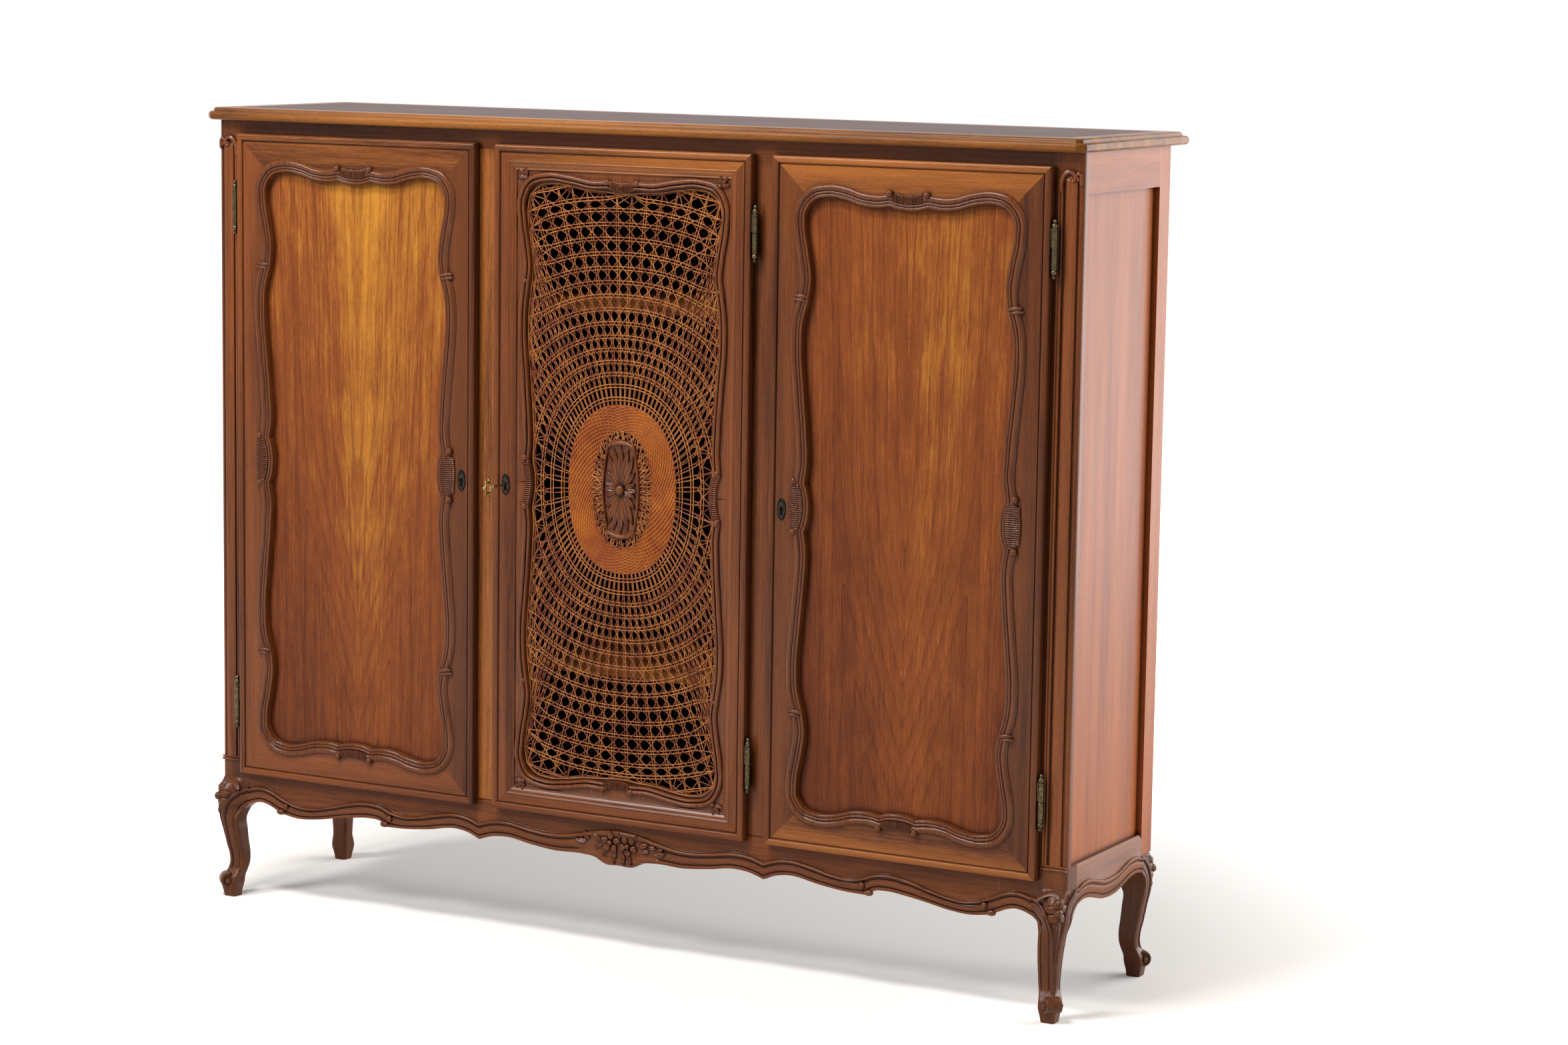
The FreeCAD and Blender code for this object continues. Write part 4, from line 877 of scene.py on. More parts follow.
def dress_boards():
    """Give every plain board of the case its finish."""
    steel = metal("steel_ground", hex_colour("#8A8884"), 0.4)
    finishes = [
        (walnut("X"), ["front_top_rail"]),
        # Painted light and shade: the left mullion is painted lighter, as light from the left falls on it,
        # and the right one darker, where the light falls off.
        (walnut("Z", "mullion", 1.5, golden=0.2), ["left_mullion"]),
        (walnut("Z", "mullion_shaded", 0.85), ["right_mullion"]),
        (side_walnut("Y"), ["left_side_rail", "right_side_rail"]),
        (side_walnut("Z"), ["left_side_panel", "right_side_panel", "left_rear_post", "right_rear_post"]),
        (veneer("left", 820, 0.16), ["left_panel"]),
        (veneer("right", 760, 0.02), ["right_panel"]),
        # Painted shade: the inside is painted very dark, standing for the shade inside the shut case.
        (stained_walnut("inside", "inner_wood", 0.6, (12, 300, 3.0), 0.7, 0.06),
         ["back_panel", "bottom_board", "left_partition", "right_partition", "shelf_cleats", "rear_rail"]),
        (walnut("X", "shelf", 1.0, 0.05, 0.4, golden=0.25), ["shelves"]),
        (steel, [f"{door}_{part}" for part in ("lock_case", "bolt") for door in DOORS] + ["hinge_pins"]),
        (aged_brass(), ["key"]),
    ]
    for material, nodes in finishes:
        for node in nodes:
            mesh = frame["nodes"][node].data
            mesh.materials.clear()
            mesh.materials.append(material)


def top_outline(inset):
    """Outlines of the top at distances in from its edge: a rectangle with both front corners cut off."""
    cut = np.maximum(TOP_CORNER - (2 - np.sqrt(2)) * inset, 1.0)
    left, right = TOP_LOW[0] + inset, TOP_HIGH[0] - inset
    front, back = TOP_LOW[1] + inset, TOP_HIGH[1] - inset
    x = np.stack([left + cut, right - cut, right, right, left, left], axis=1)
    y = np.stack([front, front, front + cut, back, back, front + cut], axis=1)
    return np.stack([x, y], axis=-1)


def top_points(inset, height):
    """Points of the top's outlines, each at its own height."""
    outlines = top_outline(inset)
    heights = np.broadcast_to(height[:, None, None], outlines.shape[:2] + (1,))
    return np.concatenate([outlines, heights], axis=-1)


def make_top():
    """Top board: an edging whose bullnose and step are carried round the board, and a stained field."""
    low, high = TOP_LOW[2], TOP_HIGH[2]
    turn = np.linspace(-np.pi / 2, np.pi / 2, 11)
    nose_in = NOSE_RADIUS * NOSE_SQUASH * (1 - np.cos(turn))
    nose_up = low + NOSE_RADIUS + 0.4 + NOSE_RADIUS * np.sin(turn)
    step_in, step_up = np.array(TOP_STEP).T
    inset = np.concatenate([nose_in, step_in, [EDGING_WIDTH, EDGING_WIDTH - 6, 6.0]])
    height = np.concatenate([nose_up, high + step_up, [low + 6, low, low]])
    edging = grid(top_points(inset, height), wrap_rows=True, wrap_columns=True)
    edging_wood = walnut("X", "edging", 0.95, 0.10, 0.30, golden=0.35)
    make_piece("top_edging", edging, edging_wood, "carcass", ("top_board",))
    field_points = top_points(np.full(2, EDGING_WIDTH - 0.1), np.array([low + 0.1, high + 0.05]))
    field_wood = stained_walnut("top", "top_dark", 0.45, (9, 420, 4.0), 0.36, 0.05)
    field = grid(field_points, wrap_columns=True, caps=True)
    make_piece("top_field", field, field_wood, "carcass")


def post_stack(levels, carved, side_end):
    """Stretch of the right post: reeds and grooves across a face with a rounded corner, up through levels.

    The side face ends at a depth, behind which the section steps in for the side's rail and panel.
    """
    inner, outer, front, back = POST_LOW[0], POST_HIGH[0], POST_LOW[1], POST_HIGH[1]
    across = np.concatenate([np.linspace(inner, outer - POST_REEDED - 1, 4),
                             np.linspace(outer - POST_REEDED, outer - POST_ROUND, 60)])
    relief = sum(height * reed(across, outer - inset, half) for inset, half, height in POST_REEDS)
    turn = np.linspace(0, np.pi / 2, 9)[1:]
    panel_side = SIDE_APRON_LOW[0]
    xs = np.concatenate([across, outer - POST_ROUND + POST_ROUND * np.sin(turn),
                         [outer, panel_side, panel_side, inner]])
    behind = np.concatenate([front + POST_ROUND - POST_ROUND * np.cos(turn),
                             [side_end, side_end, back, back]])
    rows = len(levels)
    ys = np.concatenate([front - carved[:, None] * relief[None], np.tile(behind, (rows, 1))], axis=1)
    points = np.stack([np.tile(xs, (rows, 1)), ys, np.tile(levels[:, None], (1, len(xs)))], axis=-1)
    return grid(points, wrap_columns=True, caps=True)


def make_posts():
    """Front posts: reeded between a collar of two beads and a plain block, with two scrolls at the top."""
    front, outer, panel_low = POST_LOW[1], POST_HIGH[0], SIDE_PANEL_LOW[2]
    levels = np.concatenate([np.linspace(panel_low, REEDS_FROM + 4, 6),
                             np.linspace(REEDS_FROM + 38, REEDS_TO - 38, 10),
                             np.linspace(REEDS_TO - 14, REEDS_TO + 8, 10),
                             np.linspace(REEDS_TO + 14, POST_HIGH[2], 3)])
    carved = smooth_step(levels, REEDS_FROM - 4, REEDS_FROM)
    carved = carved * (1 - smooth_step(levels, REEDS_TO, REEDS_TO + 6))
    shapes = [post_stack(levels, carved, SIDE_PANEL_LOW[1])]
    for inset, step, radius, points, ball, ball_radii in POST_SCROLLS:
        plane = local_frame((outer - inset, front, REEDS_TO))
        path = smooth_curve(points, step)
        taper = np.interp(np.linspace(0, 1, len(path)), (0, 0.1, 0.7, 1), (0.6, 1, 1, 0.7))
        shapes.append(tube(place(plane, path[:, 0], path[:, 1], 1.6), radius * taper, squash=0.85))
        shapes.append(bead(plane, ball, ball_radii))
    for below, radius in POST_COLLAR:
        level = REEDS_FROM - below
        bar = np.linspace((outer - POST_REEDED, front, level), (outer - 1, front, level), 30)
        shapes.append(tube(bar, radius, lean=(0, 0, 1)))
    make_pair("post_carved", join(shapes), walnut("Z"), "front_post")
    block = post_stack(np.array([LEG_TOP, panel_low - 4, panel_low]), np.zeros(3), POST_HIGH[1])
    make_pair("post_block", block, walnut("Z", "post_block", 0.66))


def band_out(share):
    """Carved band of the aprons and legs, as a share of its relief, from its edge at 0 to its bead line at 1.

    Each ridge is a foot with a half-round on it, between a rise and a fall; between them is a low floor.
    """
    ridges = sum((foot + height * reed(share, centre, half)) * smooth_step(share, rise, risen)
                 * (1 - smooth_step(share, fall, fallen))
                 for foot, height, centre, half, rise, risen, fall, fallen in BAND_RIDGES)
    floor = 0.16 * smooth_step(share, 0.1, 0.2) * (1 - smooth_step(share, 0.96, 1.01))
    return np.clip(np.maximum(ridges, floor), 0, 1)


def apron_shape(plane, along, edge, bead_line, top, thickness, relief, lift=0.0):
    """Apron: band and face carried along the board, each row's height set by its edge, bead line and top."""
    band_up = edge[:, None] + BAND_SHARES[None] * (bead_line - edge)[:, None]
    face_up = np.stack([bead_line + 0.5, np.full_like(edge, top - 6), np.full_like(edge, top)], axis=1)
    out = relief * band_out(BAND_SHARES)[None] + lift + np.zeros_like(band_up)
    face_out = np.tile([0.0, 0.0, -3.0], (len(along), 1))
    back_up = np.stack([np.full_like(edge, top), edge], axis=1)
    back_out = np.full((len(along), 2), -thickness)
    up = np.concatenate([band_up, face_up, back_up], axis=1)
    outs = np.concatenate([out, face_out, back_out], axis=1)
    return grid(place(plane, along[:, None], up, outs), wrap_columns=True, caps=True)


def edge_curve(pieces, step, stations):
    """Height of a scalloped edge at the stations: smooth pieces joined at their breaks."""
    curve = np.concatenate([smooth_curve(piece, step) for piece in pieces])
    return np.interp(stations, curve[:, 0], curve[:, 1])


def side_lines(stations):
    """Heights of a side apron's lower edge and bead line at stations from an end, alike from both ends."""
    near = np.minimum(stations, SIDE_APRON_LENGTH - stations)
    return [edge_curve([np.array(line) * (SIDE_APRON_LENGTH, 1)], 2, near) for line in (SIDE_EDGE, SIDE_BEAD)]


def flower(plane, centre, radius, turn, petals=5, rise=4.6):
    """Carved flower: petals set round a ball."""
    across, up, out = centre
    shapes = []
    for angle in turn + 2 * np.pi * np.arange(petals) / petals:
        base = (across + 0.25 * radius * math.cos(angle), up + 0.25 * radius * math.sin(angle), out)
        shapes.append(leaf(plane, base, angle, 1.05 * radius, 0.9 * radius, rise, groove=0.3, lift=1.0))
    shapes.append(bead(plane, (across, up, out + 0.8 * rise), (0.3 * radius,) * 3))
    return shapes


def apron_carving(plane):
    """Spray of flowers and leaves in the middle of the apron."""
    flower_out = SPRAY_OUT + 1.5
    shapes = flower(plane, (-14, 199, flower_out), 15, 0.3) + flower(plane, (21, 196, flower_out), 15, 0.9)
    shapes += [leaf(plane, (x, z, SPRAY_OUT), angle, length, width, 4.6, bend=bend, lift=1.2)
               for x, z, angle, length, width, bend in SPRAY_LEAVES]
    shapes += [bead(plane, (x, z, SPRAY_OUT + 2), (3, 3, 2.6)) for x, z in SPRAY_BUDS]
    return shapes


def make_aprons():
    """Scalloped aprons: reeded band along the lower edge, scroll ends, and a carved spray in the middle."""
    relief = length_of("apron_relief")
    plane = local_frame((0, FRAME_FRONT, 0))
    along = np.linspace(-POST_LOW[0], POST_LOW[0], 700)
    edge = edge_curve(APRON_EDGE, 3, np.abs(along))
    bead_line = edge_curve(APRON_BEAD, 3, np.abs(along))
    middle = (1 - smooth_step(np.abs(along), 60, 100))[:, None]
    fill = np.clip(3.4 - relief * band_out(BAND_SHARES), 0, None) * (BAND_SHARES > 0.2) * (BAND_SHARES < 0.82)
    thickness = APRON_HIGH[1] - FRAME_FRONT
    shapes = [apron_shape(plane, along, edge, bead_line, APRON_HIGH[2], thickness, relief, middle * fill)]
    shapes += apron_carving(plane)
    for x in APRON_VOLUTES:
        up = np.interp(x, along[along > 0], edge[along > 0])
        for sign in (-1, 1):
            shapes.append(bead(plane, (sign * (x - 8), up + 15, relief * 0.75), (5.5, 6.5, 5)))
            shapes.append(bead(plane, (sign * (x + 4), up + 4, relief * 0.55), (9, 5.5, 5)))
    wood = carved_walnut("apron", 0.95, 12.0, "X")
    make_piece("front_apron_carved", join(shapes), wood, "carcass", ("front_apron",))

    side_plane = local_frame((SIDE_APRON_HIGH[0], SIDE_APRON_LOW[1], 0), SIDE_AXES)
    side_along = np.linspace(0, SIDE_APRON_LENGTH, 160)
    side_thickness = SIDE_APRON_HIGH[0] - SIDE_APRON_LOW[0]
    shape = apron_shape(side_plane, side_along, *side_lines(side_along), SIDE_APRON_HIGH[2], side_thickness,
                        relief * 0.8)
    # Painted light: the side aprons are painted a little lighter, for the light from the right that falls on
    # the case's side.
    make_pair("apron_carved", shape, walnut("Y", "side_apron", 1.1, 0.10, 0.34), "apron")


def leg_lines(height):
    """The leg's inset at its side and front, width and depth at given heights, as columns."""
    return hermite(LEG_SECTIONS[:, 0], LEG_SECTIONS[:, 1:], height / LEG_TOP).T


def square_loop(show, hidden):
    """Loop round a rounded square from its inner front corner, with finer steps on its front and outer side.

    The square's points are pushed in until the powers of both shares add up to one.
    """
    fine = np.linspace(-1, 1, show, endpoint=False)
    coarse = np.linspace(-1, 1, hidden, endpoint=False)
    across = np.concatenate([fine, np.ones(show), -coarse, -np.ones(hidden)])
    deep = np.concatenate([-np.ones(show), fine, np.ones(hidden), -coarse])
    size = (np.abs(across) ** LEG_POWER + np.abs(deep) ** LEG_POWER) ** (-1 / LEG_POWER)
    return across, deep, size


def edge_distance(along, up, edge):
    """Least distance of each point of a face from the points of its edge."""
    edge = resample(edge, 0.6)
    return np.hypot(along[..., None] - edge[:, 0], up[..., None] - edge[:, 1]).min(-1)


def leg_core():
    """Right front leg: rounded squares along its curve, with the aprons' bands down its two show faces.

    The band's share at a point is its distance from the face's inner edge, which carries on along the apron.
    """
    show, hidden = 100, 10
    height = np.linspace(0, LEG_TOP, 240)[:, None]
    side, front, width, depth = leg_lines(height[:, 0])[..., None]
    knee = smooth_step(height, KNEE_LOW, KNEE_HIGH)
    across, deep, size = (part[None] for part in square_loop(show, hidden))
    square = knee * smooth_step(np.maximum(-across, deep), 0.2, 0.6)
    across, deep = ((size + (1 - size) * square) * part for part in (across, deep))
    right, near = CASE_HALF - side, FRAME_FRONT + front
    left = np.maximum(right - width, POST_LOW[0] + 0.1)
    far = np.minimum(near + depth, POST_HIGH[1] - 0.1)
    x = left + (across + 1) / 2 * (right - left)
    y = near + (deep + 1) / 2 * (far - near)
    z = np.broadcast_to(height, x.shape)

    carved = smooth_step(height, *LEG_CARVED_FROM)
    ground = GROUND_DEPTH * carved * (1 - smooth_step(height, GROUND_TO, LEG_TOP))
    relief = (LEG_RELIEF + KNEE_RELIEF * knee) * carved
    stations = np.linspace(POST_LOW[0] - 50, POST_LOW[0], 30)
    apron_line = np.stack([stations, edge_curve(APRON_EDGE, 3, stations)], axis=1)
    inner_line = np.concatenate([left, height], axis=1)[height[:, 0] < apron_line[-1, 1]]
    face, inner_face = np.s_[:, :show], np.s_[:, 2 * show + hidden:]
    reach = np.minimum(FRONT_BAND, right - left - BAND_MARGIN)
    band = band_out(edge_distance(x[face], z[face], np.concatenate([inner_line, apron_line])) / reach)
    place_across = smooth_step((x[face] - left) / (right - left), 0.0, 0.75)
    set_back = knee * (-ground - front)
    y[face] += (1 - place_across) * set_back + ground - relief * band
    y[inner_face] += set_back * (1 - deep[inner_face]) / 2

    side_stations = np.linspace(0, 50, 30)
    side_line = np.stack([SIDE_APRON_LOW[1] + side_stations, side_lines(side_stations)[0]], axis=1)
    rear_line = np.concatenate([far, height], axis=1)[height[:, 0] < side_line[0, 1]]
    face = np.s_[:, show:2 * show]
    reach = np.minimum(SIDE_BAND, far - near - BAND_MARGIN)
    band = band_out(edge_distance(y[face], z[face], np.concatenate([rear_line, side_line])) / reach)
    place_back = smooth_step((y[face] - near) / (far - near), 0.4, 1.0)
    x[face] += ground * (place_back * knee - 1) + 0.8 * relief * band
    return grid(np.stack([x, y, z], axis=-1), wrap_columns=True, caps=True)


def wrap_knee(shape, plane, radius=5.0):
    """Bend a flat carving back round the leg's corner by a hyperbola, and set it on the leg's curve."""
    origin, axes = plane
    across = (shape.points - origin) @ axes[0]
    back = np.sqrt(across**2 + radius**2) - radius
    points = shape.points - back[:, None] * axes[2]
    side, front, _, _ = leg_lines(np.clip(points[:, 2], 0, LEG_TOP))
    return Shape(points + np.stack([-side, front, np.zeros_like(side)], axis=1), shape.faces)


def leg_carving():
    """Knee flower with its two horns, and scroll foot, of the right front leg, seen along its corner."""
    slant = math.sqrt(0.5)
    knee_at = (CASE_HALF - 6, FRAME_FRONT + 6, 0)
    knee = local_frame(knee_at, ((slant, slant, 0), (0, 0, 1), (slant, -slant, 0)))
    shapes = []
    for angle, length, width in KNEE_PETALS:
        base = (4 * math.cos(angle), FLOWER_UP + 4 * math.sin(angle), 1.0)
        shapes.append(leaf(knee, base, angle, length, width, 4.6, lift=1.6, groove=0.18))
    shapes.append(bead(knee, (0, FLOWER_UP, 4.5), (7.2, 7.2, 6.0), rows=12, columns=20))
    shapes.append(bead(knee, (-0.5, 160, 1.0), (5.0, 6.5, 4.2)))
    for points, radii in HORNS:
        path = smooth_curve(points, 1.5)
        radius = np.interp(np.linspace(0, 1, len(path)), np.linspace(0, 1, len(radii)), radii)
        horn = place(knee, path[:, 0], path[:, 1], 1.0)
        shapes.append(tube(horn, radius, sides=10, squash=0.8, lean=knee[1][2]))
    shapes.append(bead(knee, (-4, 206, 3.5), (5.0, 5.0, 4.6)))
    shapes = [wrap_knee(shape, knee) for shape in shapes]
    return shapes + foot_scroll(slant)


def foot_scroll(slant):
    """Scroll foot: a rounded strap, wide across the corner, along a spiral whose reach falls as it turns."""
    _, side, front, _, _ = LEG_SECTIONS[TOE]
    corner = (CASE_HALF - side - 9.5, FRAME_FRONT + front + 9.5, 0)
    coil = local_frame(corner, ((slant, -slant, 0), (0, 0, 1), (slant, slant, 0)))
    share = np.linspace(0, 1, 70)[:, None]
    angle = 1.9 - 2 * np.pi * COIL_TURNS * share
    section = np.linspace(0, 2 * np.pi, 16, endpoint=False)[None]
    bulge = np.sign(np.cos(section)) * np.abs(np.cos(section)) ** 0.5
    wide = np.sign(np.sin(section)) * np.abs(np.sin(section)) ** 0.5
    radius = 12.4 - 8.0 * share + (3.6 - 1.2 * share) * bulge
    half = 13.5 + 2.5 * share
    points = place(coil, radius * np.cos(angle), COIL_UP + radius * np.sin(angle), half * wide)
    eyes = [bead(coil, (0, COIL_UP, sign * 14.5), (5.2, 5.2, 4.6)) for sign in (-1, 1)]
    return [grid(points, wrap_columns=True, caps=True)] + eyes


def make_legs():
    """Four cabriole legs: one shape and its mirror images."""
    right = join([leg_core()] + leg_carving())
    rear = flip(right, 1, CASE_MIDDLE_Y)
    legs = {"front_right": right, "front_left": flip(right), "rear_right": rear, "rear_left": flip(rear)}
    wood = carved_walnut("leg", 0.65, 10.0, roughness=0.30)
    for name, shape in legs.items():
        make_piece(f"{name}_leg_carved", shape, wood, "carcass", (f"{name}_leg",))


def member_shape(plane, side, offset, out, inner, mortise=None):
    """One mitred frame member: section points at offsets from the edge, drawn between the two mitres.

    A point at offset d lies at s times (half length minus d) along the member, so all ends meet the mitre.
    The inner points take their offset from a curve given as (s, offset) pairs. A mortise, given as its low
    and high places along the member and its floor, cuts the rear away to that floor between two square ends.
    """
    along_half, across_half = MEMBER_HALVES[side]
    limit = 1 - 0.12 / along_half
    s = np.unique(np.concatenate([np.linspace(-limit, limit, 160), np.clip(inner[0], -limit, limit)]))
    reach = np.interp(s, *inner)
    offsets = np.where(np.isnan(offset)[None], reach[:, None], np.nan_to_num(offset)[None])
    along = s[:, None] * (along_half - offsets)
    if mortise:
        low, high, floor = mortise
        centre = along.mean(axis=1)
        clear = (np.abs(centre - low) > 6) & (np.abs(centre - high) > 6)
        ends = np.array([low - 0.01, low + 0.01, high - 0.01, high + 0.01])
        rows = np.argsort(np.concatenate([centre[clear], ends]))
        end_reach = np.interp(ends, centre, reach)[:, None]
        end_offsets = np.where(np.isnan(offset)[None], end_reach, np.nan_to_num(offset)[None])
        offsets = np.concatenate([offsets[clear], end_offsets])[rows]
        along = np.concatenate([along[clear], np.tile(ends[:, None], len(offset))])[rows]
        centre = along.mean(axis=1, keepdims=True)
        out = np.where((centre > low) & (centre < high), np.maximum(out, floor), out)
    else:
        out = np.tile(out, (len(s), 1))
    across = across_half - offsets
    across_up = {"left": (-across, along), "right": (across, -along), "top": (along, across),
                 "bottom": (-along, -across)}
    return grid(place(plane, *across_up[side], out), wrap_columns=True, caps=True)


def curve_offsets(path, side):
    """Offset from the door's edge, against the place between the mitres, of a closed path on one side."""
    along_half, across_half = MEMBER_HALVES[side]
    u, w = path.T
    across, along = {"left": (-u, w), "right": (u, -w), "top": (w, u), "bottom": (-w, -u)}[side]
    offset = across_half - across
    reach = along_half - offset
    keep = (across > 0) & (reach > 0) & (np.abs(along) <= 1.03 * reach)
    s = along[keep] / reach[keep]
    order = np.argsort(s)
    return s[order], offset[keep][order]


def frame_section(door):
    """Section of a door's frame from its rear edge round to its rebate, its inner edge left open."""
    lip_offset, lip_out = np.array(LIP).T * ((length_of("lip_width"),), (LIP_HEIGHT,))
    front = np.stack([lip_offset, lip_out], axis=1)
    inner_out = 0.0
    if door == "middle":
        inner_out = DOOR_FIELD - BORDER_LOW[1] - 0.6
        front = np.concatenate([front, OGEE, [(OGEE_END, inner_out)]])
    deep, rear, panel = (DOOR_FIELD - depth for depth in (OVERLAY_REAR, DOOR_REAR, PANEL_FRONT))
    back = [(INSET_EDGE, rear), (INSET_EDGE, deep), (0.0, deep)]
    inner = [(np.nan, inner_out), (np.nan, min(panel, inner_out - 1.0))]
    return np.concatenate([back, front, inner, [(REBATE_EDGE, panel), (REBATE_EDGE, rear)]]).T


def lock_mortise(door, side):
    """Mortise of a lock case in its stile: low and high place along the stile, and floor."""
    case_low, case_high = node_box(f"{door}_lock_case")
    way = 1 if side == "left" else -1
    span = sorted(way * (level - DOOR_LEVEL) for level in (case_low[2], case_high[2]))
    return (*span, DOOR_FIELD - case_low[1])


def make_door_frames():
    """Frames of the doors: four mitred members each, with a rounded lip and a face that meets the carving."""
    moulding_path = closed_outline(MOULDING_QUARTER, 4)
    straight = np.array([-1.0, 1.0]), np.array([BORDER_EDGE, BORDER_EDGE])
    for door in DOORS:
        plane = local_frame((DOOR_CENTRES[door], DOOR_FIELD, DOOR_LEVEL))
        left_stile, right_stile = STILES[door]
        members = {"left": f"{left_stile}_stile", "right": f"{right_stile}_stile", "top": "top_rail",
                   "bottom": "bottom_rail"}
        offset, out = frame_section(door)
        for side, member in members.items():
            inner = straight if door == "middle" else curve_offsets(moulding_path, side)
            mortise = lock_mortise(door, side) if member == "lock_stile" else None
            shape = member_shape(plane, side, offset, out, inner, mortise)
            node = f"{door}_{member}"
            # Painted light and shade: the listed members take lighter or darker copies of the walnut.
            if node in GOLDEN_MEMBERS:
                wood = walnut("X", "rail", 1.22, golden=0.16)
            else:
                tone = SHADED_MEMBERS.get(node, 1.0)
                wood = walnut("Z" if side in STILE_SIDES else "X", f"frame_{tone:.2f}", tone)
            make_piece(f"{node}_moulded", shape, wood, f"{door}_door", (node,))


def shelled_path(quarter, shell_top):
    """Closed path of a carved frame, its normals, and how far its points lie in the top and side shells.

    Its steps are fine in the shells, which sit at its four middles, and four times as long elsewhere.
    """
    path = closed_outline(quarter, 0.6)
    u, w = np.abs(path).T
    in_shell = ((u < shell_top) & (w > TOP_SHELL_FROM)) | ((w < SHELL_HALF_SIDE) & (u > SIDE_SHELL_FROM))
    keep = in_shell | (np.arange(len(path)) % 4 == 0)
    path, normal = path[keep], outward_normals(path)[keep]
    u, w = np.abs(path[:, :1]), np.abs(path[:, 1:])
    top_zone = (1 - smooth_step(u, shell_top - 3, shell_top)) * (w > TOP_SHELL_FROM)
    side_zone = (1 - smooth_step(w, SHELL_HALF_SIDE - 3, SHELL_HALF_SIDE)) * (u > SIDE_SHELL_FROM)
    return path, normal, top_zone, side_zone


def shell_ribs(flat, top_zone, top_rib):
    """Rounded ridges a rib's width apart, square to the frame at its top and side shells."""
    rib = length_of("shell_rib")
    distance = np.where(top_zone > 0, flat[..., 0] / (rib * top_rib), flat[..., 1] / rib)
    return np.abs(np.cos(np.pi * distance)) ** 0.7


def shell_balls(plane, places, out, su, sw):
    """Balls that end the shells in a quarter of a carved frame: one at the top, a taller one at the side."""
    ball = length_of("volute_radius")
    return [bead(plane, (su * across, sw * up, out), (ball, ball * stretch, ball))
            for (across, up), stretch in zip(places, (1.0, 1.1))]


def make_mouldings():
    """Sinuous moulding of each side door: three reeds, widened into ribbed shells at its four middles."""
    height = length_of("reed_height")
    inner_half = 10.0
    outer_half = length_of("moulding_width") - inner_half
    path, normal, top_zone, side_zone = shelled_path(MOULDING_QUARTER, MOULDING_SHELL_TOP)
    zone = np.maximum(top_zone, side_zone)
    u, w = np.abs(path[:, :1]), np.abs(path[:, 1:])
    chord = SHELL_WIDTH + np.where(side_zone > 0, SHELL_LINE - u, 0.0)
    pinch = 1 - 0.16 * np.exp(-((w - KNUCKLE_UP) / 14) ** 2)
    outer_edge = outer_half * pinch * (1 - zone) + chord * zone

    outer_share = np.linspace(0, 1, 17)[None]
    outer_across = 1.2 + outer_share * (outer_edge - 1.2)
    ribs = shell_ribs(path[:, None] + outer_across[..., None] * normal[:, None], top_zone, 0.9)
    plain = height * (1 - np.abs((outer_share - 0.42) / 0.6) ** 2.2)
    shell = height * (0.35 + 0.65 * reed(outer_share, 0.35, 0.68)) * (0.58 + 0.42 * ribs)
    outer_out = (1 - zone) * plain + zone * shell
    inner_across = np.linspace(0.8, -inner_half, 24)[None] * np.ones_like(zone)
    first, second = reed(inner_across, -1.6, 2.5), reed(inner_across, -6.9, 2.9)
    inner_out = height * np.maximum(0.38 + 0.42 * first, 0.26 + 0.36 * second) - 0.4
    inner_out = inner_out - 3.0 * smooth_step(-inner_across, inner_half - 1.0, inner_half)
    drop = DOOR_FIELD - PANEL_FRONT - 0.5
    one = np.ones_like(zone)
    across = [outer_edge, outer_across[:, ::-1], inner_across, -inner_half * one, 0 * one]
    across = np.concatenate(across, axis=1)
    out = np.concatenate([-one, outer_out[:, ::-1], inner_out, drop * one, drop * one], axis=1)
    flat = path[:, None] + across[..., None] * normal[:, None]

    wood = carved_walnut("moulding", 0.84)
    for door in SIDE_DOORS:
        plane = local_frame((DOOR_CENTRES[door], DOOR_FIELD, DOOR_LEVEL))
        shapes = [grid(place(plane, flat[..., 0], flat[..., 1], out), wrap_rows=True, wrap_columns=True)]
        for su, sw in CORNERS:
            shapes += shell_balls(plane, MOULDING_BALLS, 3.4, su, sw)
            shapes += knuckle(plane, (su * KNUCKLE_OUT, sw * KNUCKLE_UP), su)
        make_piece(f"{door}_moulding_carved", join(shapes), wood, f"{door}_door",
                   (f"{door}_moulding",))


def knuckle(plane, centre, sign):
    """Break in a moulding: two fat rolls that lap over each other across it."""
    rolls = []
    for shift, reach, radius in ((2.6, 1.0, 4.4), (-3.4, 3.5, 3.6)):
        across = np.linspace(-13, 13, 14)
        path = place(plane, centre[0] + sign * (across + reach), centre[1] + shift + 0.10 * across,
                     3.2 - 0.012 * across**2)
        rolls.append(tube(path, radius * np.sqrt(np.clip(1 - (across / 14.0) ** 2, 0.1, 1)), sides=12))
    return rolls


